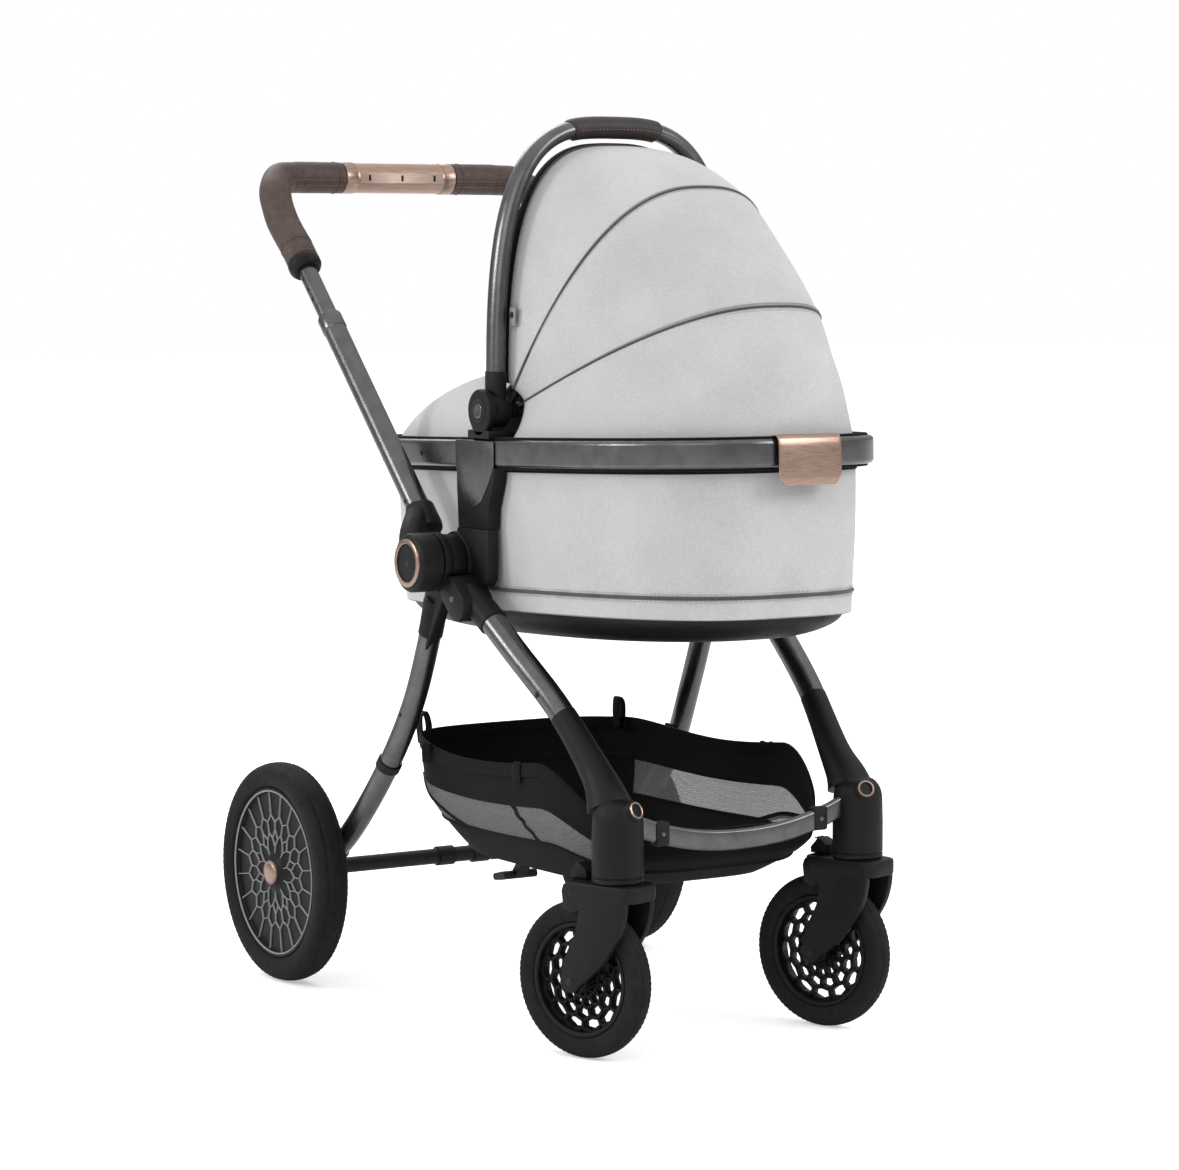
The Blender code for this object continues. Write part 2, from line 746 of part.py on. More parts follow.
def make_rear_wheels():
    tyre = tyre_profile(REAR_WHEEL_RADIUS, REAR_RIM_RADIUS, REAR_TYRE_WIDTH)
    half = REAR_TYRE_WIDTH / 2 - 0.004
    rim = rim_profile(REAR_RIM_RADIUS, half, 0.006, 0.024, REAR_PIN_RADIUS + RUNNING)
    face = half + 0.001
    cap = [
        (0.0, face + 0.0045),
        (REAR_CAP_RADIUS - 0.002, face + 0.004),
        (REAR_CAP_RADIUS, face + 0.002),
        (REAR_CAP_RADIUS, face + FIT),
        (0.0, face + FIT),
    ]
    for name, side in SIDES.items():
        wheel = frame("rear_wheel_" + name, (side * REAR_WHEEL_X, REAR_AXLE_Y, REAR_WHEEL_RADIUS))
        turned("rear_tyre_" + name, tyre, RUBBER, wheel, rotation=outward(side), segments=32)
        turned("rear_rim_" + name, rim, PLASTIC, wheel, rotation=outward(side), segments=32)
        turned("rear_cap_" + name, cap, BRONZE, wheel, rotation=outward(side), segments=24)


def rim_hole_cutter():
    """Two rings of round holes through a front wheel's web, as one shape."""
    web_middle = (FRONT_RIM_RADIUS - 0.009 + 0.018) / 2
    outer, inner = RIM_HOLE_RADIUS, RIM_HOLE_RADIUS * 0.7
    rings = ((web_middle + 0.010, outer, 12, 0.0), (web_middle - 0.008, inner, 8, 0.2))
    bm = bmesh.new()
    for distance, radius, count, start in rings:
        for step in range(count):
            angle = start + 2 * math.pi * step / count
            place = Matrix.Translation(
                (distance * math.cos(angle), distance * math.sin(angle), 0.0)
            )
            bmesh.ops.create_cone(
                bm, cap_ends=True, segments=6, radius1=radius, radius2=radius, depth=0.060, matrix=place
            )
    return mesh_from(bm)


def make_front_wheels():
    tyre = tyre_profile(FRONT_WHEEL_RADIUS, FRONT_RIM_RADIUS, FRONT_TYRE_WIDTH)
    half = FRONT_TYRE_WIDTH / 2 - 0.002
    rim = rim_profile(FRONT_RIM_RADIUS, half, 0.005, 0.012, FRONT_PIN_RADIUS + RUNNING)
    place = (0, CASTOR_TRAIL, FRONT_WHEEL_RADIUS)
    for name, side in SIDES.items():
        castor = CASTORS[name]
        turned("front_tyre_" + name, tyre, RUBBER, castor, place, outward(side), 28)
        disc = turned("front_rim_" + name, rim, PLASTIC, castor, place, outward(side), 28)
        cutter = helper("rim_holes_" + name, rim_hole_cutter(), castor, place, outward(side))
        combine(disc, cutter, "DIFFERENCE")


def make_castor_forks():
    """A crown with a stem, two arms and the wheel's axle pin."""
    top = HEAD_BOTTOM_Z - FIT
    bottom = top - CROWN_THICKNESS
    inner_x = CROWN_HALF_WIDTH - ARM_THICKNESS
    middle, half = (CROWN_REAR - CROWN_FRONT) / 2, (CROWN_REAR + CROWN_FRONT) / 2
    arm_outline = [
        (-CROWN_FRONT + 0.008, bottom + 0.006),
        (-CROWN_FRONT + 0.010, bottom - 0.012),
        (-0.010, bottom - 0.040),
        (0.014, FRONT_WHEEL_RADIUS + 0.022),
        *arc((CASTOR_TRAIL, FRONT_WHEEL_RADIUS), 0.013, 1.15 * math.pi, 2.1 * math.pi, 7),
        (CASTOR_TRAIL - 0.006, FRONT_WHEEL_RADIUS + 0.036),
        (0.022, bottom - 0.026),
        (0.020, bottom + 0.006),
    ]
    for name, side in SIDES.items():
        castor = CASTORS[name]
        crown = plate(oval(CROWN_HALF_WIDTH, half, 4.0, 24, middle), CROWN_THICKNESS)
        crown.transform(Matrix.Translation((0, 0, (top + bottom) / 2)))
        fork = part("castor_fork_" + name, crown, PLASTIC, castor)
        for hand in (-1, 1):
            arm = side_plate(arm_outline, (hand * inner_x, hand * (CROWN_HALF_WIDTH - 0.0007)))
            label = "fork_arm_" + name + ("_outer" if hand == side else "_inner")
            combine(fork, helper(label, arm, castor), "UNION")
        stem = cylinder(STEM_RADIUS, STEM_LENGTH + 0.010, 16)
        combine(fork, helper("stem_" + name, stem, castor, (0, 0, top - 0.010)), "UNION")
        pin = cylinder(FRONT_PIN_RADIUS, 2 * inner_x + 0.010, 12)
        seat = (-inner_x - 0.005, CASTOR_TRAIL, FRONT_WHEEL_RADIUS)
        combine(fork, helper("axle_pin_" + name, pin, castor, seat, outward(1)), "UNION")


def make_swivel_locks():
    """Levers on the crowns that stop a castor from turning."""
    length = CROWN_REAR - HEAD_RADIUS - 0.008
    outline = [
        (0.0, 0.0),
        (0.0, LOCK_HEIGHT * 0.45),
        (-length * 0.45, LOCK_HEIGHT),
        (-length + 0.004, LOCK_HEIGHT * 0.9),
        (-length, LOCK_HEIGHT * 0.6),
        (-length, 0.0),
    ]
    for name in SIDES:
        lever = side_plate(outline, (-LOCK_WIDTH / 2, LOCK_WIDTH / 2))
        seat = (0, CROWN_REAR - 0.002, HEAD_BOTTOM_Z)
        part("swivel_lock_" + name, lever, PLASTIC, CASTORS[name], seat)


# Push frame and handle


def make_upper_tubes():
    """Outer tubes, closed below and open above for the handle's inner tubes."""
    outer, inner = UPPER_TUBE_RADIUS, UPPER_TUBE_RADIUS - UPPER_TUBE_WALL
    floor = UPPER_TUBE_END - INNER_TUBE_HIDDEN - HANDLE_DROP - 0.006
    profile = [
        (0.0, floor),
        (inner, floor),
        (inner, UPPER_TUBE_END),
        (outer + 0.0015, UPPER_TUBE_END),
        (outer + 0.0015, UPPER_TUBE_END - 0.030),
        (outer, UPPER_TUBE_END - 0.032),
        (outer, UPPER_TUBE_START),
        (0.0, UPPER_TUBE_START),
    ]
    for name, side in SIDES.items():
        place, lean = (side * UPPER_TUBE_X, 0, 0), (-PUSH_LEAN, 0, 0)
        turned("upper_tube_" + name, profile, GUNMETAL, PUSH_FRAME, place, lean, 24)


def make_push_hubs():
    """Outer discs of the fold joint, with a sleeve for the tube and a flat accessory boss."""
    depth = PUSH_X[1] - PUSH_X[0]
    profile = [
        (0.0, depth + 0.0015),
        (HUB_BOSS_RADIUS, depth + 0.0015),
        (HUB_BOSS_RADIUS, depth),
        (HUB_RADIUS - 0.003, depth),
        (HUB_RADIUS, depth - 0.003),
        (HUB_RADIUS, 0.0),
        (0.0, 0.0),
    ]
    lean = (-PUSH_LEAN, 0, 0)
    along = Vector((0, math.sin(PUSH_LEAN), math.cos(PUSH_LEAN)))
    across = Vector((UPPER_TUBE_X, 0, 0))
    for name, side in SIDES.items():
        place = (side * PUSH_X[0], 0, 0)
        hub = turned("push_hub_" + name, profile, PLASTIC, PUSH_FRAME, place, outward(side), 28)
        sleeve = cylinder(UPPER_TUBE_RADIUS + 0.004, 0.036)
        start = side * across + along * (UPPER_TUBE_START - 0.004)
        combine(hub, helper("hub_sleeve_" + name, sleeve, PUSH_FRAME, start, lean), "UNION")
        near, far = along * 0.020, along * (UPPER_TUBE_START + 0.016)
        neck = link_outline(near.yz, HUB_RADIUS - 0.018, far.yz, UPPER_TUBE_RADIUS + 0.001)
        web = side_plate(neck, (side * (PUSH_X[0] + 0.001), side * (PUSH_X[1] - 0.010)))
        combine(hub, helper("hub_neck_" + name, web, PUSH_FRAME), "UNION")
        near = along * (HUB_RADIUS + 0.018)
        arm = link_outline(near.yz, UPPER_TUBE_RADIUS, far.yz, UPPER_TUBE_RADIUS)
        root = side_plate(arm, (side * (UPPER_TUBE_X + 0.006), side * (PUSH_X[1] - 0.012)))
        combine(hub, helper("hub_root_" + name, root, PUSH_FRAME), "UNION")
        bore = cylinder(UPPER_TUBE_RADIUS + FIT, 0.100)
        seat = side * across + along * (UPPER_TUBE_START - FIT)
        combine(hub, helper("tube_seat_" + name, bore, PUSH_FRAME, seat, lean), "DIFFERENCE")
        pin_bore = cylinder(HUB_PIN_RADIUS + RUNNING, depth - 0.005 + 0.010)
        inner = (side * (PUSH_X[0] - 0.010), 0, 0)
        combine(hub, helper("hub_bore_" + name, pin_bore, PUSH_FRAME, inner, outward(side)), "DIFFERENCE")


def make_hub_rings():
    """Bright trim rings round the bosses."""
    inner, outer = HUB_BOSS_RADIUS + FIT, HUB_RING_RADIUS
    profile = closed_ring(
        [
            (inner, HUB_RING_HEIGHT - 0.001),
            (inner + 0.001, HUB_RING_HEIGHT),
            (outer - 0.0015, HUB_RING_HEIGHT),
            (outer, HUB_RING_HEIGHT - 0.0015),
            (outer, FIT),
            (inner, FIT),
        ]
    )
    for name, side in SIDES.items():
        place = (side * PUSH_X[1], 0, 0)
        turned("hub_ring_" + name, profile, BRONZE, PUSH_FRAME, place, outward(side), 28)


def make_inner_tubes():
    """The handle's tubes, which slide in the upper tubes."""
    start = UPPER_TUBE_END - INNER_TUBE_HIDDEN
    for name, side in SIDES.items():
        mesh = cylinder(INNER_TUBE_RADIUS, KNUCKLE_START + KNUCKLE_LENGTH - 0.005 - start)
        y, z = push_point(start)
        place = Vector((side * UPPER_TUBE_X, y, z)) - HANDLE.location
        part("inner_tube_" + name, mesh, GUNMETAL, HANDLE, place, (-PUSH_LEAN, 0, 0))


def make_knuckles():
    """Collars that join the inner tubes to the grips."""
    radius, length = KNUCKLE_RADIUS, KNUCKLE_LENGTH
    bore, depth = INNER_TUBE_RADIUS + FIT, KNUCKLE_LENGTH - 0.004
    profile = [
        (0.0, length),
        (radius - 0.001, length),
        (radius, length - 0.002),
        (radius, 0.004),
        (INNER_TUBE_RADIUS + 0.005, 0.0),
        (bore, 0.0),
        (bore, depth),
        (0.0, depth),
    ]
    y, z = push_point(KNUCKLE_START)
    for name, side in SIDES.items():
        place = Vector((side * UPPER_TUBE_X, y, z)) - HANDLE.location
        turned("handle_knuckle_" + name, profile, PLASTIC, HANDLE, place, (-PUSH_LEAN, 0, 0), 24)


def handle_points(side):
    """From the knuckle, up and round the corner, to the middle piece."""
    start, straight_end = (
        Vector((side * UPPER_TUBE_X, *push_point(KNUCKLE_START + KNUCKLE_LENGTH + distance)))
        for distance in (FIT, 0.026)
    )
    corner = [
        (UPPER_TUBE_X - 0.002, HANDLE_Y - 0.077, HANDLE_Z - 0.063),
        (UPPER_TUBE_X - 0.008, HANDLE_Y - 0.044, HANDLE_Z - 0.028),
        (UPPER_TUBE_X - 0.030, HANDLE_Y - 0.012, HANDLE_Z - 0.004),
        (UPPER_TUBE_X - 0.062, HANDLE_Y, HANDLE_Z),
    ]
    bend = smooth([straight_end, *((side * x, y, z) for x, y, z in corner)], 3)
    return [start, *bend, Vector((side * (HANDLE_CENTER_HALF + FIT), HANDLE_Y, HANDLE_Z))]


def make_grips():
    for name, side in SIDES.items():
        points = [Vector(p) - HANDLE.location for p in handle_points(side)]
        part("handle_grip_" + name, tube(points, GRIP_RADIUS), LEATHER, HANDLE)


def make_handle_center():
    """The bright middle piece, with a collar at each end."""
    half, radius = HANDLE_CENTER_HALF, HANDLE_CENTER_RADIUS
    collar = radius + 0.0015
    profile = [
        (0.0, half),
        (collar, half),
        (collar, half - 0.011),
        (radius, half - 0.012),
        (radius, -half + 0.012),
        (collar, -half + 0.011),
        (collar, -half),
        (0.0, -half),
    ]
    place = Vector((0, HANDLE_Y, HANDLE_Z)) - HANDLE.location
    turned("handle_center", profile, BRONZE, HANDLE, place, outward(1), 28)


# Carrycot, in its own tilted frame


def cot_oval(inset, count=40, z=0.0, scale=1.0):
    """A ring of the carrycot's outline, moved in from the rail's outside."""
    width, length = COT_HALF_WIDTH - inset, COT_HALF_LENGTH - inset
    return [(x, y, z) for x, y in oval(width * scale, length * scale, COT_POWER, count)]


def make_rail():
    """The carrying rail, a flat bar bent round the tub."""
    half, edge = RAIL_HEIGHT / 2, 0.004
    section = [
        (0.0, half - edge),
        (edge, half),
        (RAIL_THICKNESS - 0.002, half),
        (RAIL_THICKNESS, half - 0.002),
        (RAIL_THICKNESS, -half + 0.002),
        (RAIL_THICKNESS - 0.002, -half),
        (edge, -half),
        (0.0, -half + edge),
    ]
    rings = [cot_oval(inset, z=z) for inset, z in section]
    part("cot_rail", loft([*rings, rings[0]]), GUNMETAL, COT)


def make_tub():
    """The fabric tub on its hard shell, open above."""
    inset = RAIL_THICKNESS + 0.001
    rings = [
        cot_oval(inset, z=TUB_RISE),
        cot_oval(inset, z=-RAIL_HEIGHT),
        cot_oval(inset, z=-TUB_DEPTH * 0.55, scale=(1 + TUB_TAPER) / 2),
        cot_oval(inset, z=-TUB_DEPTH + 0.008, scale=TUB_TAPER),
        cot_oval(inset + 0.006, z=-TUB_DEPTH, scale=TUB_TAPER),
    ]
    tub = part("cot_tub", loft(rings, cap_last=True), FABRIC, COT)
    shell(tub, TUB_WALL, -1.0)


def make_base():
    """The moulded base under the tub."""
    inset = RAIL_THICKNESS + 0.010
    bottom = -TUB_DEPTH - FIT
    rings = [
        cot_oval(inset, 40, bottom, TUB_TAPER),
        cot_oval(inset + 0.010, 40, bottom - BASE_DEPTH * 0.30, TUB_TAPER),
        cot_oval(inset + 0.045, 40, bottom - BASE_DEPTH * 0.80, TUB_TAPER),
        cot_oval(inset + 0.070, 40, bottom - BASE_DEPTH, TUB_TAPER),
    ]
    part("cot_base", loft(rings, cap_first=True, cap_last=True), PLASTIC, COT)


def make_mattress():
    floor = -TUB_DEPTH + TUB_WALL + FIT
    inset = RAIL_THICKNESS + TUB_WALL + MATTRESS_CLEARANCE
    rings = [
        cot_oval(inset + 0.004, 40, floor, TUB_TAPER),
        cot_oval(inset, 40, floor + 0.006, TUB_TAPER),
        cot_oval(inset, 40, floor + MATTRESS_THICKNESS - 0.006, TUB_TAPER),
        cot_oval(inset + 0.006, 40, floor + MATTRESS_THICKNESS, TUB_TAPER),
    ]
    part("mattress", loft(rings, cap_first=True, cap_last=True), FABRIC, COT)


def make_rail_tab():
    """The bright plate over the rail at the head end."""
    face = -COT_HALF_LENGTH - FIT
    corner = 0.014
    width, low = TAB_HALF_WIDTH, -TAB_DROP
    outline = [
        (width, TAB_RISE),
        (-width, TAB_RISE),
        *arc((-width + corner, low + corner), corner, math.pi, 1.5 * math.pi, 5),
        *arc((width - corner, low + corner), corner, 1.5 * math.pi, 2 * math.pi, 5),
    ]
    mesh = plate(outline, TAB_THICKNESS)
    stand = Matrix.Rotation(math.pi / 2, 4, "X")
    mesh.transform(Matrix.Translation((0, face - TAB_THICKNESS / 2, 0)) @ stand)
    tab = part("rail_tab", mesh, BRONZE, COT)
    lip = box(
        (-width, face - TAB_THICKNESS, RAIL_HEIGHT / 2 + 0.002),
        (width, face + RAIL_THICKNESS * 0.7, TAB_RISE),
    )
    combine(tab, helper("tab_lip", lip, COT), "UNION")


def make_apron():
    """The foot cover: a crowned sheet from the rail's foot end up to its free edge."""
    inset = RAIL_THICKNESS + 0.003
    half_length = COT_HALF_LENGTH - inset
    start = APRON_EDGE_Y - COT_Y
    rows = []
    for step in range(10):
        share = step / 9
        y = start + (half_length * 0.992 - start) * share
        width = (COT_HALF_WIDTH - inset) * (1 - (y / half_length) ** COT_POWER) ** (1 / COT_POWER)
        fall = max(0.0, (share - 0.25) / 0.75)
        crest = APRON_CREST * (1 - fall**1.4) + 0.004
        row = []
        for across in range(15):
            place = -1 + across / 7
            rise = crest * (1 - abs(place) ** 5)
            row.append((width * place, y, TUB_RISE + APRON_THICKNESS + 0.001 + rise))
        rows.append(row)
    apron = part("foot_apron", loft(rows, close_rings=False), FABRIC, COT)
    shell(apron, APRON_THICKNESS, -1.0)


def make_adapters():
    """Brackets that clip the carrycot's rail to the hub housings, in the world's axes."""
    low_y, high_y = ADAPTER_Y - ADAPTER_HALF_DEPTH, ADAPTER_Y + ADAPTER_HALF_DEPTH
    rail_top = COT_Z + RAIL_HEIGHT / 2
    under_rail_z = rail_top - RAIL_HEIGHT - 0.010
    outline = [
        (RECEIVER_Y[0], ADAPTER_BOTTOM_Z),
        (RECEIVER_Y[1], ADAPTER_BOTTOM_Z),
        (high_y, under_rail_z - 0.030),
        (high_y, rail_top - 0.001),
        (low_y - 0.012, rail_top - 0.001),
        (low_y - 0.012, under_rail_z),
        (RECEIVER_Y[0], under_rail_z - 0.045),
    ]
    x_range = (ADAPTER_X, ADAPTER_X + ADAPTER_THICKNESS)
    for name, side in SIDES.items():
        place = -LIFT.location
        body = side_plate(outline, [side * x for x in x_range])
        adapter = part("cot_adapter_" + name, body, PLASTIC, LIFT, place)
        middle = side * tongue_middle()
        low = (middle - TONGUE_THICKNESS / 2, ADAPTER_Y - TONGUE_HALF_DEPTH)
        high = (middle + TONGUE_THICKNESS / 2, ADAPTER_Y + TONGUE_HALF_DEPTH)
        tongue = box((*low, ADAPTER_BOTTOM_Z - TONGUE_LENGTH), (*high, ADAPTER_BOTTOM_Z + 0.010))
        combine(adapter, helper("tongue_" + name, tongue, LIFT, place), "UNION")
        outer = COT_HALF_WIDTH + FIT
        half = RAIL_HEIGHT / 2 + FIT
        inner_x, outer_x = sorted((side * (outer - RAIL_THICKNESS - 0.020), side * outer))
        channel = box((inner_x, -0.100, -half), (outer_x, 0.150, half))
        combine(adapter, helper("rail_channel_" + name, channel, COT), "DIFFERENCE")


def make_arch_joints():
    """Blocks on the rail with the pins that the arch and the hood's ribs turn on."""
    low_x, high_x = ARCH_JOINT_X
    foot_z = COT_Z + RAIL_HEIGHT / 2 + 0.001
    foot_top = foot_z + ARCH_FOOT_THICKNESS
    outline = link_outline((HOOD_Y, HOOD_Z), ARCH_JOINT_RADIUS, (HOOD_Y, foot_z + 0.020), 0.0185)
    for name, side in SIDES.items():
        place = -LIFT.location
        plate_mesh = side_plate(outline, [side * x for x in ARCH_JOINT_X])
        joint = part("arch_joint_" + name, plate_mesh, PLASTIC, LIFT, place)
        inner_x, outer_x = sorted((side * (ARCH_HALF_WIDTH - 0.012), side * high_x))
        foot = box((inner_x, HOOD_Y - 0.024, foot_z), (outer_x, HOOD_Y + 0.027, foot_top))
        combine(joint, helper("arch_foot_" + name, foot, LIFT, place), "UNION")
        inner = FRONT_RIB_FABRIC[0] - 0.0125
        pin = cylinder(HOOD_PIN_RADIUS, low_x + 0.004 - inner, 14)
        seat = Vector((side * inner, HOOD_Y, HOOD_Z)) + place
        combine(joint, helper("hood_pin_" + name, pin, LIFT, seat, outward(side)), "UNION")
        recess = cylinder(BUTTON_RADIUS + RUNNING, 0.020)
        start = Vector((side * button_floor(), HOOD_Y, HOOD_Z)) + place
        combine(joint, helper("recess_" + name, recess, LIFT, start, outward(side)), "DIFFERENCE")


def button_floor():
    """Where the recess for an arch button ends, along X."""
    return ARCH_JOINT_X[1] - BUTTON_TRAVEL - 0.003


def make_arch_buttons():
    """Buttons in the arch joints that free the hood."""
    start = button_floor() + BUTTON_TRAVEL + 0.0004
    length = ARCH_JOINT_X[1] + 0.0015 - start
    profile = [
        (0.0, length),
        (BUTTON_RADIUS - 0.001, length),
        (BUTTON_RADIUS, length - 0.001),
        (BUTTON_RADIUS, 0.0),
        (0.0, 0.0),
    ]
    for name, side in SIDES.items():
        seat = frame("arch_button_axis_" + name, (side * start, HOOD_Y, HOOD_Z))
        turned("arch_button_" + name, profile, GUNMETAL, seat, rotation=outward(side), segments=20)


# Hood, about its pivot. A hoop stands in a plane that leans forwards by its angle.


def hood_point(angle, x, distance):
    return Vector((x, -distance * math.sin(angle), distance * math.cos(angle)))


def hoop(half_width, reach, power, angle, foot, count):
    """Points of an arch over the pivot, from one foot to the other, at equal steps round it."""
    start = math.asin(min(1.0, (foot / reach) ** (power / 2)))
    points = []
    for step in range(count):
        turn = start + (math.pi - 2 * start) * step / (count - 1)
        across, up = math.cos(turn), math.sin(turn)
        x = math.copysign(abs(across) ** (2 / power), across) * half_width
        points.append(hood_point(angle, x, up ** (2 / power) * reach))
    return points


def arch_mesh(section, half_span=None):
    """The arch's bar with an oval section, or only its stretch over the middle."""
    line = hoop(ARCH_HALF_WIDTH, ARCH_REACH, ARCH_POWER, 0.0, 0.010, 31)
    if half_span:
        line = [Vector(p) for p in line if abs(p.x) < half_span]
        for end, sign in ((0, 1), (-1, -1)):
            line[end].x = sign * half_span
    mesh = tube(line, section[0], 2)
    mesh.transform(Matrix.Diagonal((1, section[1] / section[0], 1, 1)))
    return mesh


def make_arch():
    """The arch that carries the hood and lifts the carrycot, with an eye at each foot."""
    arch = part("hood_arch", arch_mesh(ARCH_SECTION), GUNMETAL, ARCH)
    low, high = ARCH_HALF_WIDTH - 0.011, ARCH_HALF_WIDTH + 0.011
    for name, side in SIDES.items():
        eye = cylinder(ARCH_EYE_RADIUS, high - low, 24)
        seat = (side * low, 0, 0)
        combine(arch, helper("arch_eye_" + name, eye, ARCH, seat, outward(side)), "UNION")
    for name, side in SIDES.items():
        bore = cylinder(HOOD_PIN_RADIUS + RUNNING, 0.050, 16)
        seat = (side * (low - 0.010), 0, 0)
        combine(arch, helper("arch_bore_" + name, bore, ARCH, seat, outward(side)), "DIFFERENCE")


def make_carry_grip():
    """The sleeve round the top of the arch."""
    outer = (ARCH_SECTION[0] + CARRY_GRIP_WALL, ARCH_SECTION[1] + CARRY_GRIP_WALL)
    grip = part("carry_grip", arch_mesh(outer, CARRY_GRIP_HALF), LEATHER, ARCH)
    core = arch_mesh((ARCH_SECTION[0] + FIT, ARCH_SECTION[1] + FIT))
    combine(grip, helper("grip_core", core, ARCH), "DIFFERENCE")


def make_rib(name, angle, fabric, parent, eye_x):
    """A hoop just inside the fabric, with eyes on the hood's pins."""
    half_width, reach = fabric[0] - 0.0065, fabric[1] - 0.0065
    line = hoop(half_width, reach, 2.6, angle, 0.006, 27)
    rib = part(name, tube(line, RIB_RADIUS, 1), PLASTIC, parent)
    for label, side in SIDES.items():
        eye = cylinder(0.010, 0.007, 16)
        seat = (side * (eye_x - 0.0035), 0, 0)
        combine(rib, helper(name + "_eye_" + label, eye, parent, seat, outward(side)), "UNION")
    for label, side in SIDES.items():
        bore = cylinder(HOOD_PIN_RADIUS + RUNNING, 0.030, 12)
        seat = (side * (eye_x - 0.015), 0, 0)
        combine(rib, helper(name + "_bore_" + label, bore, parent, seat, outward(side)), "DIFFERENCE")


def hem_line(count):
    """The hood's lower hem on the carrycot, from one side round the head end to the other."""
    inset = RAIL_THICKNESS + CANOPY_HEM_INSET
    half_width, half_length = COT_HALF_WIDTH - inset, COT_HALF_LENGTH - inset
    start = math.asin((HEM_START / half_length) ** (COT_POWER / 2))
    points = []
    for step in range(count):
        turn = start + (math.pi - 2 * start) * step / (count - 1)
        across, along = math.cos(turn), math.sin(turn)
        x = math.copysign(abs(across) ** (2 / COT_POWER), across) * half_width
        y = COT_Y - half_length * along ** (2 / COT_POWER)
        z = COT_Z - (y - COT_Y) * math.tan(COT_TILT) + TUB_RISE + 0.004
        points.append(Vector((x, y - HOOD_Y, z - HOOD_Z)))
    return points


def panel(name, first, last, parent, rows=4, bulge=0.004):
    """A sheet of fabric between two lines of points, swelling a little between them."""
    grid = []
    for step in range(rows):
        share = step / (rows - 1)
        swell = 1 + bulge * math.sin(math.pi * share) / 0.3
        row = []
        for start, end in zip(first, last):
            mixed = start.lerp(end, share)
            radius = start.yz.length * (1 - share) + end.yz.length * share
            direction = mixed.yz.normalized()
            row.append((mixed.x, direction.x * radius * swell, direction.y * radius * swell))
        grid.append(row)
    sheet = part(name, loft(grid, close_rings=False), FABRIC, parent)
    shell(sheet, CANOPY_THICKNESS, 0.0)


def make_canopy():
    """Three panels: arch to rear rib, rear rib to front rib, and front rib to the hem."""
    count, gap = 25, math.radians(0.7)
    foot = 0.034
    lines = {}
    for key, fabric, power, angle in (
        ("arch", ARCH_FABRIC, 2.9, 0.0),
        ("rear", REAR_RIB_FABRIC, 2.6, REAR_RIB_ANGLE),
        ("front", FRONT_RIB_FABRIC, 2.6, FRONT_RIB_ANGLE),
    ):
        lines[key, -1] = hoop(*fabric, power, angle - gap, foot, count)
        lines[key, 1] = hoop(*fabric, power, angle + gap, foot, count)
    panel("canopy_rear", lines["arch", -1], lines["rear", -1], REAR_RIB)
    panel("canopy_middle", lines["rear", 1], lines["front", -1], FRONT_RIB)
    panel("canopy_front", lines["front", 1], hem_line(count), HOOD)


def clear_scene():
    for old in list(bpy.data.objects):
        bpy.data.objects.remove(old, do_unlink=True)


clear_scene()
PARTS, HELPERS = make_collections()
CHASSIS = frame("chassis_frame", (0, 0, 0))
REAR_FRAME = hub_frame("rear_fold_axis")
PUSH_FRAME = hub_frame("handle_fold_axis")
HANDLE = frame("handle_slide", (0, *push_point(UPPER_TUBE_END)))
BRAKE = frame("brake_axis", (BRAKE_X, REAR_AXLE_Y, REAR_WHEEL_RADIUS))
CASTORS = {
    name: frame("castor_axis_" + name, (side * CASTOR_X, CASTOR_Y, 0), (0, 0, CASTOR_TURN))
    for name, side in SIDES.items()
}
LIFT = frame("cot_lift", (0, ADAPTER_Y, ADAPTER_BOTTOM_Z))
COT = frame("cot_frame", (0, COT_Y, COT_Z), (-COT_TILT, 0, 0))
HOOD = frame("hood_pivot", (0, HOOD_Y, HOOD_Z))
FRONT_RIB = frame("front_rib_pivot", (0, HOOD_Y, HOOD_Z))
REAR_RIB = frame("rear_rib_pivot", (0, HOOD_Y, HOOD_Z))
ARCH = frame("arch_pivot", (0, HOOD_Y, HOOD_Z))

make_front_legs()
make_castor_heads()
make_front_bow()
make_hub_housings()
make_basket()
make_rear_legs()
make_axle_beam()
make_brake_pedal()
make_rear_wheels()
make_front_wheels()
make_castor_forks()
make_swivel_locks()
make_upper_tubes()
make_push_hubs()
make_hub_rings()
make_inner_tubes()
make_knuckles()
make_grips()
make_handle_center()
make_rail()
make_tub()
make_base()
make_mattress()
make_rail_tab()
make_apron()
make_adapters()
make_arch_joints()
make_arch_buttons()
make_arch()
make_carry_grip()
make_rib("hood_rib_front", FRONT_RIB_ANGLE, FRONT_RIB_FABRIC, FRONT_RIB, FRONT_RIB_FABRIC[0] - 0.0065)
make_rib("hood_rib_rear", REAR_RIB_ANGLE, REAR_RIB_FABRIC, REAR_RIB, REAR_RIB_FABRIC[0] - 0.0065)
make_canopy()
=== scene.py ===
"""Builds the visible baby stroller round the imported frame."""

import json
import math

import bmesh
import bpy
from mathutils import Matrix, Vector


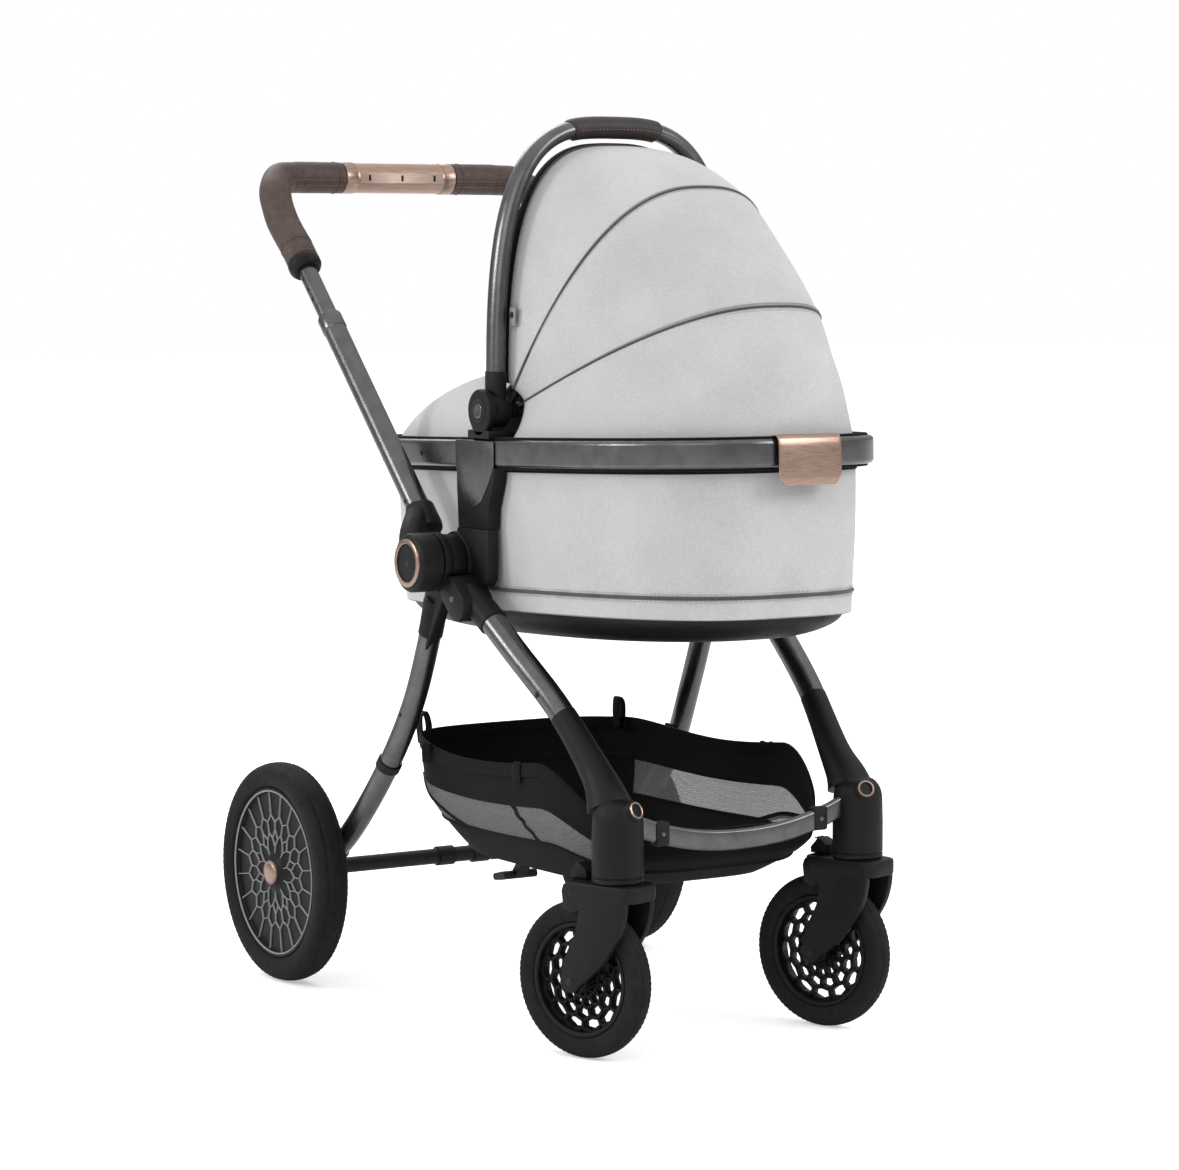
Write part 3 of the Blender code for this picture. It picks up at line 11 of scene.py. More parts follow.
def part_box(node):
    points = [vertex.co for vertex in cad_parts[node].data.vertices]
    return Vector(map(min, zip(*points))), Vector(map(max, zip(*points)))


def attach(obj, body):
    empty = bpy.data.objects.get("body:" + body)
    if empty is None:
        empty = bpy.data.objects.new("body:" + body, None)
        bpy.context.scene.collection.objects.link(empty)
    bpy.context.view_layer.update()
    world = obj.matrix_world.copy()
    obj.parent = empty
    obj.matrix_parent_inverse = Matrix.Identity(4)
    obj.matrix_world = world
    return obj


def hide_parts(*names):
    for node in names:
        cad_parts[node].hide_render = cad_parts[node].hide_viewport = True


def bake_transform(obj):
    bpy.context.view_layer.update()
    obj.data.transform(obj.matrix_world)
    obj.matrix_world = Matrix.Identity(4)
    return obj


bl_info = {
    "name": "Baby Stroller",
    "version": (1, 0, 0),
    "blender": (4, 5, 0),
    "location": "View3D > Sidebar > Stroller",
    "description": "Builds a baby stroller with a carrycot round its packed frame",
    "category": "Object",
}

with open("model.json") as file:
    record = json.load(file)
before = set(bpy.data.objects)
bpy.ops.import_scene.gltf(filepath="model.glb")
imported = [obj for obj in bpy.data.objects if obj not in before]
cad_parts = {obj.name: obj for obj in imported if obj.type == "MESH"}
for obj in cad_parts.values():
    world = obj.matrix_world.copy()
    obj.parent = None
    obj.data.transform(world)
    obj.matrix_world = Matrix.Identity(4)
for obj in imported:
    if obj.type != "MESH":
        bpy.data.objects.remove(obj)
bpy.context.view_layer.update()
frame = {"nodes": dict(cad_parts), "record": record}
SIDES = (("left", 1), ("right", -1))


# Where things are


def joint_vector(name, key):
    """A joint's point or its axis, in the frame."""
    for joint in frame["record"]["behaviour"]["joints"]:
        if joint["name"] == name:
            return Vector(joint[key])
    raise ValueError(name)


def corners(node):
    """A CAD node's lowest and highest corners."""
    return [Vector(corner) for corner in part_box(node)]


HUB = joint_vector("handle_fold", "pos_m")
HOOD = joint_vector("hood_arch_fold", "pos_m")
REAR_WHEEL = joint_vector("rear_wheel_roll_left", "pos_m")
CASTOR = joint_vector("castor_swivel_left", "pos_m")
FRONT_WHEEL = joint_vector("front_wheel_roll_left", "pos_m")
PUSH = -joint_vector("handle_height", "axis")
RAIL_LOW, RAIL_HIGH = corners("cot_rail")
COT_HALF_WIDTH = RAIL_HIGH.x
COT_HALF_LENGTH = (RAIL_HIGH.y - RAIL_LOW.y) / 2
COT_TILT = math.radians(1.98)
COT = Matrix.Translation(
    (0, (RAIL_LOW.y + RAIL_HIGH.y) / 2, (RAIL_LOW.z + RAIL_HIGH.z) / 2)
) @ Matrix.Rotation(-COT_TILT, 4, "X")
RAIL_HEIGHT = 0.034
RAIL_THICKNESS = 0.019
TUB_DEPTH = 0.195
BASKET = corners("basket")
PUSH_TUBE_X = 0.217
LEG_TOP_X = 0.2105
REAR_FOOT_X = 0.228
HUB_RADIUS = 0.037
CASTOR_TRAIL = 0.05
TUB_TAPER = 0.024  # how much narrower the tub is at its foot, as a share
TUB_SEAM = 0.868  # the piped seam's depth, as a share of the tub's
ARCH_HOOP = (0.172, 0.351, 3.2, 0.0, 0.010)  # half width, reach, power, angle and foot


def castor_matrix(side):
    """The castor's own axes: +Y along its trail, the origin on the ground."""
    axis = joint_vector("front_wheel_roll_left", "axis")
    place = Matrix.Translation((side * CASTOR.x, CASTOR.y, 0))
    return place @ Matrix.Rotation(math.atan2(axis.y, axis.x), 4, "Z")


def outward(side):
    """Turns +Z to point away from the middle."""
    return Matrix.Rotation(side * math.pi / 2, 4, "Y")


# Mesh building


def smooth(points, per_span=6):
    """A smooth line through the points."""
    points = [Vector(p) for p in points]
    ends = [2 * points[0] - points[1], *points, 2 * points[-1] - points[-2]]
    line = []
    for before, first, second, after in zip(ends, ends[1:], ends[2:], ends[3:]):
        for step in range(per_span):
            t = step / per_span
            bend = (2 * before - 5 * first + 4 * second - after) * t * t
            twist = (3 * first - before - 3 * second + after) * t * t * t
            line.append(0.5 * (2 * first + (second - before) * t + bend + twist))
    return [*line, points[-1]]


def skin(bm, rings, material=0, closed=True, cap_start=False, cap_end=False):
    """Faces through rings of the same number of points."""
    rows = [[bm.verts.new(point) for point in ring] for ring in rings]
    count = len(rows[0])
    faces = []
    for upper, lower in zip(rows, rows[1:]):
        for step in range(count if closed else count - 1):
            after = (step + 1) % count
            faces.append(bm.faces.new((upper[step], upper[after], lower[after], lower[step])))
    if cap_start:
        faces.append(bm.faces.new(rows[0]))
    if cap_end:
        faces.append(bm.faces.new(list(reversed(rows[-1]))))
    for face in faces:
        face.material_index = material
    return faces


def frames_along(path, closed=False, up=None):
    """(point, across, upwards) for each point of a path, with as little twist as possible."""
    path = [Vector(p) for p in path]
    count = len(path)
    found = []
    guide = Vector(up) if up else None
    for step, point in enumerate(path):
        before = path[(step - 1) % count] if closed or step else point
        after = path[(step + 1) % count] if closed or step < count - 1 else point
        ahead = (after - before).normalized()
        if guide is None:
            guide = Vector((0, 0, 1)) if abs(ahead.z) < 0.9 else Vector((0, 1, 0))
        across = ahead.cross(guide).normalized()
        upwards = across.cross(ahead).normalized()
        if up is None:
            guide = upwards
        found.append((point, across, upwards))
    return found


def sweep(bm, path, section, material=0, closed=False, caps=True, up=None, scales=None):
    """A section of (across, upwards) points carried along a path."""
    rings = []
    for step, (point, across, upwards) in enumerate(frames_along(path, closed, up)):
        scale = scales[step] if scales else 1.0
        rings.append([point + across * a * scale + upwards * b * scale for a, b in section])
    if closed:
        return skin(bm, [*rings, rings[0]], material)
    return skin(bm, rings, material, cap_start=caps, cap_end=caps)


def circle(radius, count=24, squash=1.0):
    return [
        (radius * math.cos(2 * math.pi * i / count), squash * radius * math.sin(2 * math.pi * i / count))
        for i in range(count)
    ]


def rounded_box(half_width, half_height, corner, count=5):
    """A rectangle's outline with round corners."""
    points = []
    for quarter, (sx, sy) in enumerate(((1, 1), (-1, 1), (-1, -1), (1, -1))):
        centre = (sx * (half_width - corner), sy * (half_height - corner))
        for step in range(count):
            angle = (quarter + step / (count - 1)) * math.pi / 2
            points.append(
                (centre[0] + corner * math.cos(angle), centre[1] + corner * math.sin(angle))
            )
    return points


def tube(bm, path, radius, material=0, segments=24, ends=0.0015):
    """A round bar with softened ends."""
    path = [Vector(p) for p in path]
    first = (path[1] - path[0]).normalized()
    last = (path[-1] - path[-2]).normalized()
    line = [path[0], path[0] + first * ends, *path[1:-1], path[-1] - last * ends, path[-1]]
    radii = radius if isinstance(radius, list) else [radius] * len(path)
    radii = [radii[0] - ends, radii[0], *radii[1:-1], radii[-1], radii[-1] - ends]
    return sweep(bm, line, circle(1.0, segments), material, scales=radii)


def turn(bm, profile, matrix, segments=48, material=0, closed=False):
    """A profile of (radius, height) points turned about +Z, then placed."""
    rows = []
    for radius, height in profile:
        if radius < 1e-6:
            rows.append([bm.verts.new(matrix @ Vector((0, 0, height)))])
            continue
        row = []
        for step in range(segments):
            angle = 2 * math.pi * step / segments
            place = Vector((radius * math.cos(angle), radius * math.sin(angle), height))
            row.append(bm.verts.new(matrix @ place))
        rows.append(row)
    pairs = list(zip(rows, rows[1:]))
    if closed:
        pairs.append((rows[-1], rows[0]))
    for upper, lower in pairs:
        for step in range(segments):
            after = (step + 1) % segments
            corners = (
                upper[step % len(upper)],
                upper[after % len(upper)],
                lower[after % len(lower)],
                lower[step % len(lower)],
            )
            unique = list(dict.fromkeys(corners))
            if len(unique) > 2:
                bm.faces.new(unique).material_index = material


def prism(bm, outline, low, high, bevel=0.0015, material=0, matrix=None, segments=2):
    """An outline in (Y, Z) filled between two places along X, with round rims."""
    matrix = matrix or Matrix.Identity(4)
    low, high = sorted((low, high))
    back = [bm.verts.new(matrix @ Vector((low, y, z))) for y, z in outline]
    front = [bm.verts.new(matrix @ Vector((high, y, z))) for y, z in outline]
    faces = [bm.faces.new(back), bm.faces.new(front)]
    rims = list(faces[0].edges) + list(faces[1].edges)
    count = len(outline)
    for step in range(count):
        after = (step + 1) % count
        faces.append(bm.faces.new((back[step], back[after], front[after], front[step])))
    for face in faces:
        face.material_index = material
    bmesh.ops.recalc_face_normals(bm, faces=faces)
    if bevel:
        bmesh.ops.bevel(
            bm, geom=rims, offset=bevel, segments=segments, profile=0.5, affect="EDGES",
            clamp_overlap=True, material=-1,
        )


def block(bm, low, high, bevel=0.001, material=0, matrix=None):
    """A box with round edges."""
    matrix = matrix or Matrix.Identity(4)
    low, high = Vector(low), Vector(high)
    scale = Matrix.Diagonal((*(high - low), 1.0))
    made = bmesh.ops.create_cube(bm, size=1.0, matrix=matrix @ Matrix.Translation((low + high) / 2) @ scale)
    faces = {face for vert in made["verts"] for face in vert.link_faces}
    for face in faces:
        face.material_index = material
    edges = list({edge for face in faces for edge in face.edges})
    bmesh.ops.bevel(
        bm, geom=edges, offset=bevel, segments=2, profile=0.5, affect="EDGES", clamp_overlap=True,
        material=-1,
    )


def arc(centre, radius, start, end, count):
    angles = [start + (end - start) * step / (count - 1) for step in range(count)]
    return [(centre[0] + radius * math.cos(a), centre[1] + radius * math.sin(a)) for a in angles]


def link_outline(first, first_radius, second, second_radius, count=14):
    """The outline round two circles and the straight sides between them."""
    across, up = second[0] - first[0], second[1] - first[1]
    heading = math.atan2(up, across)
    spread = math.acos((first_radius - second_radius) / math.hypot(across, up))
    start = arc(first, first_radius, heading + spread, heading + 2 * math.pi - spread, count)
    return start + arc(second, second_radius, heading - spread, heading + spread, count)


def oval(half_width, half_length, power, count):
    """Points round an oval, squarer with a higher power, spread evenly along it."""
    fine = []
    for step in range(count * 6):
        angle = 2 * math.pi * step / (count * 6)
        across, along = math.cos(angle), math.sin(angle)
        x = math.copysign(abs(across) ** (2 / power), across) * half_width
        y = math.copysign(abs(along) ** (2 / power), along) * half_length
        fine.append(Vector((x, y, 0)))
    return resample([*fine, fine[0]], count + 1)[:-1]


def resample(points, count):
    """The same line with evenly spaced points."""
    lengths = [0.0]
    for first, second in zip(points, points[1:]):
        lengths.append(lengths[-1] + (second - first).length)
    found = []
    index = 0
    for step in range(count):
        goal = lengths[-1] * step / (count - 1)
        while index < len(points) - 2 and lengths[index + 1] < goal:
            index += 1
        span = lengths[index + 1] - lengths[index] or 1.0
        found.append(points[index].lerp(points[index + 1], (goal - lengths[index]) / span))
    return found


def piece(name, bm, finishes, body=None, stands_for=(), angle=38, thickness=None, offset=0.0, levels=0):
    """A finished mesh object that rides on a body and stands for CAD nodes."""
    bmesh.ops.recalc_face_normals(bm, faces=bm.faces)
    mesh = bpy.data.meshes.new(name)
    bm.to_mesh(mesh)
    bm.free()
    for kind in finishes:
        mesh.materials.append(finish(kind))
    mesh.shade_smooth()
    mesh.set_sharp_from_angle(angle=math.radians(angle))
    made = bpy.data.objects.new(name, mesh)
    bpy.context.scene.collection.objects.link(made)
    if levels:
        modifier = made.modifiers.new("Subdivision", "SUBSURF")
        modifier.levels = levels
        modifier.render_levels = levels
    if thickness:
        modifier = made.modifiers.new("Cloth thickness", "SOLIDIFY")
        modifier.thickness = thickness
        modifier.offset = offset
    if body:
        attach(made, body)
    if stands_for:
        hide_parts(*stands_for)
    return made


# Materials


def linear(code):
    """A colour from its sRGB hex code."""
    values = [int(code[i : i + 2], 16) / 255 for i in (1, 3, 5)]
    return tuple(v / 12.92 if v <= 0.04045 else ((v + 0.055) / 1.055) ** 2.4 for v in values) + (1.0,)


def shade(colour):
    """The linear colour of an sRGB hex code, or of a colour property, which is linear already."""
    return linear(colour) if isinstance(colour, str) else tuple(colour)


def add(tree, kind, links=None, values=None, **settings):
    """A shader node with its settings, its socket values and what feeds its sockets."""
    made = tree.nodes.new(kind)
    for key, value in settings.items():
        setattr(made, key, value)
    for key, value in (values or {}).items():
        made.inputs[key].default_value = value
    for key, source in (links or {}).items():
        tree.links.new(source, made.inputs[key])
    return made


def new_material(name, colour, roughness, metallic=0.0, **extra):
    """(material, tree, shader, object coordinates) of a Principled material."""
    made = bpy.data.materials.new(name)
    made.use_nodes = True
    tree = made.node_tree
    shader = tree.nodes["Principled BSDF"]
    shader.inputs["Base Color"].default_value = shade(colour)
    shader.inputs["Roughness"].default_value = roughness
    shader.inputs["Metallic"].default_value = metallic
    for key, value in extra.items():
        shader.inputs[key.replace("_", " ")].default_value = value
    return made, tree, shader, add(tree, "ShaderNodeTexCoord").outputs["Object"]


def noise(tree, place, size, detail=3.0):
    """Noise whose features are about this size in metres."""
    return add(
        tree, "ShaderNodeTexNoise", {"Vector": place}, {"Scale": 1 / size, "Detail": detail}
    ).outputs["Fac"]


def tint(tree, shader, factor, dark, light, low=0.3, high=0.7):
    """Colours the shader between two shades."""
    ramp = add(tree, "ShaderNodeValToRGB", {"Fac": factor})
    ramp.color_ramp.elements[0].position = low
    ramp.color_ramp.elements[0].color = shade(dark)
    ramp.color_ramp.elements[1].position = high
    ramp.color_ramp.elements[1].color = shade(light)
    tree.links.new(ramp.outputs["Color"], shader.inputs["Base Color"])


def spread(tree, shader, socket, factor, low, high):
    """Drives a socket between two values."""
    mapped = add(tree, "ShaderNodeMapRange", {"Value": factor}, {"To Min": low, "To Max": high})
    tree.links.new(mapped.outputs["Result"], shader.inputs[socket])


def bump(tree, shader, height, depth, strength=1.0):
    made = add(
        tree, "ShaderNodeBump", {"Height": height}, {"Distance": depth, "Strength": strength}
    )
    tree.links.new(made.outputs["Normal"], shader.inputs["Normal"])


def edge_wear(tree, shader, base, worn, amount=0.5):
    """Lighter colour on convex edges."""
    geometry = add(tree, "ShaderNodeNewGeometry").outputs["Pointiness"]
    mask = add(
        tree, "ShaderNodeMapRange", {"Value": geometry},
        {"From Min": 0.53, "From Max": 0.62, "To Min": 0.0, "To Max": amount},
    ).outputs["Result"]
    mix = add(tree, "ShaderNodeMix", {"Factor": mask}, data_type="RGBA")
    mix.inputs[6].default_value = shade(base)
    mix.inputs[7].default_value = shade(worn)
    tree.links.new(mix.outputs[2], shader.inputs["Base Color"])


def gunmetal(dark, light):
    """Satin anodised aluminium tube, dark grey, with fine drawing marks."""
    made, tree, shader, place = new_material("anodised_gunmetal", light, 0.28, 0.95)
    tint(tree, shader, noise(tree, place, 0.02), dark, light)
    spread(tree, shader, "Roughness", noise(tree, place, 0.006), 0.24, 0.34)
    bump(tree, shader, noise(tree, place, 0.0007), 0.00003)
    return made


def black_plastic(name, colour, worn):
    """Moulded nylon with a fine spark-eroded grain and slightly polished edges."""
    made, tree, shader, place = new_material(name, colour, 0.5, Specular_IOR_Level=0.2)
    edge_wear(tree, shader, colour, worn)
    spread(tree, shader, "Roughness", noise(tree, place, 0.015), 0.42, 0.6)
    bump(tree, shader, noise(tree, place, 0.0007, 2.0), 0.00006)
    return made


def rubber(dark, light):
    """Tyre rubber, matt, a little dusty, with a fine moulded texture."""
    made, tree, shader, place = new_material("tyre_rubber", light, 0.8, Specular_IOR_Level=0.2)
    tint(tree, shader, noise(tree, place, 0.012, 6.0), dark, light)
    spread(tree, shader, "Roughness", noise(tree, place, 0.02), 0.7, 0.9)
    bump(tree, shader, noise(tree, place, 0.0012, 2.0), 0.00015)
    return made


def bronze(name, dark, light):
    """Rose-bronze plated metal, satin, brushed along one way."""
    made, tree, shader, place = new_material(name, light, 0.32, 0.9)
    stretched = add(tree, "ShaderNodeMapping", {"Vector": place}, {"Scale": (0.06, 1.0, 1.0)})
    lines = noise(tree, stretched.outputs["Vector"], 0.0012)
    tint(tree, shader, lines, dark, light)
    spread(tree, shader, "Roughness", lines, 0.26, 0.4)
    bump(tree, shader, lines, 0.00003)
    return made


def leather(name, dark, light):
    """Dark brown leatherette with a pebbled grain."""
    made, tree, shader, place = new_material(name, light, 0.6)
    cells = add(tree, "ShaderNodeTexVoronoi", {"Vector": place}, {"Scale": 1 / 0.0016})
    cells.feature = "SMOOTH_F1"
    tint(tree, shader, noise(tree, place, 0.01), dark, light)
    spread(tree, shader, "Roughness", cells.outputs["Distance"], 0.5, 0.72)
    bump(tree, shader, cells.outputs["Distance"], 0.0002, 0.7)
    return made


def thread(name, colour):
    """Twisted sewing thread."""
    made, tree, shader, place = new_material(name, colour, 0.7)
    bump(tree, shader, noise(tree, place, 0.0004), 0.0001)
    return made


def yarns(tree, place, stretch):
    """Noise drawn out along one way, as yarns are."""
    drawn = add(tree, "ShaderNodeMapping", {"Vector": place}, {"Scale": stretch})
    return noise(tree, drawn.outputs["Vector"], 0.0011, 2.0)


def woven(name, dark, light, depth=0.00016, sheen=0.2):
    """Woven cloth in two shades of yarn crossing each other, with slow changes of shade."""
    made, tree, shader, place = new_material(name, light, 0.92, Sheen_Weight=sheen, Specular_IOR_Level=0.15)
    warp = yarns(tree, place, (1.0, 1.0, 0.12))
    weft = yarns(tree, place, (0.14, 0.14, 1.0))
    crossed = add(tree, "ShaderNodeMath", {0: warp, 1: weft}, operation="ADD").outputs[0]
    slow = noise(tree, place, 0.09, 2.0)
    mixed = add(tree, "ShaderNodeMath", {0: crossed, 1: slow}, operation="ADD")
    third = add(tree, "ShaderNodeMath", {0: mixed.outputs[0]}, {1: 0.333}, operation="MULTIPLY")
    tint(tree, shader, third.outputs[0], dark, light, 0.38, 0.62)
    bump(tree, shader, crossed, depth, 0.6)
    return made


def mesh_cloth():
    """Open knitted net in grey: half of it is holes too small to see one by one."""
    made, tree, shader, place = new_material("basket_mesh", "#6a6a6b", 0.85)
    cells = add(tree, "ShaderNodeTexVoronoi", {"Vector": place}, {"Scale": 1 / 0.003, "Randomness": 0.3})
    gaps = add(
        tree, "ShaderNodeMapRange", {"Value": cells.outputs["Distance"]},
        {"To Min": 0.42, "To Max": 0.22},
    )
    clear = add(tree, "ShaderNodeBsdfTransparent")
    mixed = add(
        tree, "ShaderNodeMixShader",
        {0: gaps.outputs["Result"], 1: shader.outputs[0], 2: clear.outputs[0]},
    )
    tree.links.new(mixed.outputs[0], tree.nodes["Material Output"].inputs["Surface"])
    bump(tree, shader, cells.outputs["Distance"], 0.0004)
    return made


def floor_paper():
    """A white paper floor, very slightly mottled."""
    made, tree, shader, place = new_material("studio_floor", "#f4f4f4", 0.9, Specular_IOR_Level=0.1)
    tint(tree, shader, noise(tree, place, 0.6), "#f2f2f2", "#f6f6f6")
    shader.inputs["Emission Color"].default_value = (1.0, 1.0, 1.0, 1.0)
    seen = add(tree, "ShaderNodeLightPath").outputs["Is Camera Ray"]
    spread(tree, shader, "Emission Strength", seen, 0.0, 0.42)
    return made


FINISHES = {}


def finish(name):
    """The named material, made once."""
    if name not in FINISHES:
        colours = bpy.context.scene.stroller_colours
        makers = {
            "gunmetal": (gunmetal, colours.metal_dark, colours.metal_light),
            "plastic": (black_plastic, "moulded_black_plastic", colours.plastic, "#232324"),
            "grey_plastic": (black_plastic, "moulded_grey_plastic", "#1e1e1f", "#3c3c3d"),
            "web": (black_plastic, "wheel_web_grey", "#7b7b7c", "#8f8f90"),
            "deep": (black_plastic, "wheel_disc_black", "#060606", "#101011"),
            "rubber": (rubber, colours.rubber_dark, colours.rubber_light),
            "bronze": (bronze, "rose_bronze", colours.bronze_dark, colours.bronze_light),
            "pale_bronze": (bronze, "rose_bronze_inlay", "#b39c8f", "#c6b0a4"),
            "leather": (leather, "brown_leatherette", colours.leather_dark, colours.leather_light),
            "dark_leather": (leather, "black_brown_leatherette", "#1b1514", "#2a211f"),
            "thread": (thread, "brown_thread", "#7a6357"),
            "grey_thread": (thread, "grey_thread", "#9a9a9a"),
            "cloth": (woven, "grey_melange_cloth", colours.cloth_dark, colours.cloth_light),
            "lining": (woven, "grey_lining", "#9c9c9c", "#b0b0b0"),
            "piping": (woven, "charcoal_piping", "#3c3c3e", "#515153"),
            "binding": (woven, "black_binding", "#0c0c0d", "#141415", 0.00016, 0.02),
            "basket": (woven, "black_basket_cloth", "#0a0a0b", "#141415", 0.00016, 0.02),
            "mesh": (mesh_cloth,),
            "floor": (floor_paper,),
            "ticking": (woven, "mattress_ticking", "#cfcfcd", "#e0e0de", 0.0003),
        }
        make, *values = makers[name]
        FINISHES[name] = make(*values)
    return FINISHES[name]


def paint(node, name):
    """Gives a CAD node a finish and smooth shading."""
    made = frame["nodes"][node]
    made.data.materials.clear()
    made.data.materials.append(finish(name))
    made.data.shade_smooth()
    made.data.set_sharp_from_angle(angle=math.radians(32))


# Chassis


def between(start, end, shares):
    return Vector(tuple(a + (b - a) * share for a, b, share in zip(start, end, shares)))


def front_leg_path(side):
    """From the hub housing, bowed forwards, into the castor head."""
    head_top = CASTOR.z + 0.1035
    top = (side * LEG_TOP_X, HUB.y, HUB.z)
    foot = (side * CASTOR.x, CASTOR.y, head_top)
    shares = (
        (0.00, 0.095, 0.112),
        (0.18, 0.252, 0.241),
        (0.36, 0.430, 0.409),
        (0.69, 0.656, 0.638),
        (1.00, 0.852, 0.907),
        (1.00, 0.935, 1.035),
        (1.00, 0.975, 1.160),
    )
    return smooth([between(top, foot, share) for share in shares], 8)


def rear_leg_path(side):
    """From below the hub, bowed, back to the axle."""
    top = (side * LEG_TOP_X, HUB.y, HUB.z)
    foot = (side * REAR_FOOT_X, REAR_WHEEL.y, REAR_WHEEL.z)
    shares = (
        (0.05, 0.083, 0.111),
        (0.00, 0.136, 0.226),
        (0.14, 0.255, 0.439),
        (0.66, 0.421, 0.650),
        (0.89, 0.676, 0.857),
        (1.00, 0.874, 0.958),
        (1.00, 1.000, 1.000),
    )
    return smooth([between(top, foot, share) for share in shares], 8)


def make_front_leg(name, side):
    bm = bmesh.new()
    path = front_leg_path(side)
    count = len(path)
    radii = [0.0163 - 0.0008 * step / count for step in range(count)]
    tube(bm, path, radii, 0, 32)
    rivet = path[int(count * 0.46)]
    for place in (rivet, path[int(count * 0.73)]):
        turn(
            bm,
            [(0, 0.0172), (0.003, 0.0168), (0.0042, 0.0158), (0.0042, 0.012)],
            Matrix.Translation(place) @ outward(side),
            20,
            1,
        )
    piece("leg_front_" + name, bm, ["gunmetal", "plastic"], "chassis", ["front_leg_" + name])


def make_castor_head(name, side):
    """The turned casting, its sleeve round the leg and the bright ring on its face."""
    bm = bmesh.new()
    place = Matrix.Translation((side * CASTOR.x, CASTOR.y, CASTOR.z))
    radius = 0.0312
    profile = [(0.0, 0.1), (0.010, 0.0995)]
    for step in range(9):
        angle = math.pi / 2 * step / 8
        profile.append((0.012 + 0.0185 * math.sin(angle), 0.072 + 0.027 * math.cos(angle)))
    profile += [(radius - 0.0004, 0.060), (radius, 0.045), (radius, 0.0085), (radius - 0.0012, 0.0078)]
    profile += [(radius - 0.0012, 0.0068), (radius, 0.006), (radius, 0.0016), (radius - 0.0016, 0.0)]
    profile += [(0.0, 0.0)]
    turn(bm, profile, place, 56, 0)
    leg = front_leg_path(side)[-24:-6]
    count = len(leg)
    radii = [0.0165 + 0.0115 * (step / (count - 1)) ** 1.5 for step in range(count)]
    tube(bm, leg, radii, 0, 36, 0.0006)
    centre = Vector((side * CASTOR.x, CASTOR.y, CASTOR.z + 0.0760))
    facing = Vector((side * -0.30, -1.0, 0.45)).normalized()
    turned = facing.to_track_quat("Z", "X").to_matrix().to_4x4()
    at = Matrix.Translation(centre + facing * 0.0262) @ turned
    turn(bm, [(0.0078, 0.004), (0.0112, 0.0044), (0.0128, 0.003), (0.0132, -0.006)], at, 40, 0)
    turn(
        bm,
        [(0.0082, 0.0062), (0.0092, 0.0066), (0.0104, 0.0062), (0.0106, 0.003), (0.0080, 0.003)],
        at, 40, 1, closed=True,
    )
    turn(bm, [(0.0, 0.0036), (0.0082, 0.0036), (0.0084, 0.001)], at, 40, 2)
    finishes = ["plastic", "bronze", "deep"]
    piece("castor_casting_" + name, bm, finishes, "chassis", ["castor_head_" + name])


def make_front_bow():
    """The cross bow: a flattened bar with a clip near each end and a small dome on each clip."""
    bm = bmesh.new()
    end_x = CASTOR.x - 0.0215
    path = []
    for step in range(33):
        share = -1 + step / 16
        sag = 0.030 * (1 - abs(share) ** 2.2)
        path.append(Vector((end_x * share, CASTOR.y, CASTOR.z + 0.067 - sag)))
    sweep(bm, path, rounded_box(0.0055, 0.0122, 0.0035), 0, up=(0, 0, 1))
    for sign in (-1, 1):
        clip = path[4 if sign < 0 else -5]
        block(bm, clip - Vector((0.010, 0.0075, 0.0145)), clip + Vector((0.010, 0.0075, 0.0145)), 0.003, 1)
        edge = clip - Vector((0, 0.0078, 0))
        at = Matrix.Translation(edge) @ Matrix.Rotation(math.pi / 2, 4, "X")
        turn(bm, [(0.0, 0.0012), (0.0022, 0.001), (0.003, 0.0)], at, 16, 2)
    finishes = ["gunmetal", "plastic", "gunmetal"]
    piece("bow_front", bm, finishes, "chassis", ["front_bow"])


def make_hub_housing(name, side):
    """Fixed cheeks of the fold joint, the receiver block and the front leg's socket."""
    bm = bmesh.new()
    hub = Vector((0, HUB.y, HUB.z))
    low, high = corners("hub_housing_" + name)
    disc = arc((hub.y, hub.z), HUB_RADIUS, 0, 2 * math.pi * 47 / 48, 48)
    prism(bm, disc, side * 0.1868, side * 0.2022, 0.0012)
    prism(bm, disc, side * 0.2238, side * 0.2352, 0.0012)
    receiver = [
        (low.y, high.z),
        *arc((low.y + 0.018, low.z + 0.055), 0.018, math.pi, 1.5 * math.pi, 6),
        (hub.y + 0.0017, low.z + 0.037),
        (hub.y + 0.0017, high.z),
    ]
    prism(bm, receiver, side * 0.1806, side * 0.1969, 0.002)
    leg = front_leg_path(side)
    heading = (leg[0] - hub).yz.normalized()
    near = hub.yz + heading * 0.0505
    far = hub.yz + heading * 0.076
    prism(bm, link_outline(near, 0.0185, far, 0.0200), side * 0.189, side * 0.2342, 0.003)
    tube(bm, leg[2:11], 0.0185, 0, 32, 0.003)
    outer = Matrix.Translation(Vector((side * 0.2342, *(hub.yz + heading * 0.064)))) @ outward(side)
    turn(bm, [(0, 0.0012), (0.0035, 0.001), (0.0045, 0.0)], outer, 24, 1)
    finishes = ["plastic", "gunmetal"]
    piece("fold_housing_" + name, bm, finishes, "chassis", ["hub_housing_" + name])


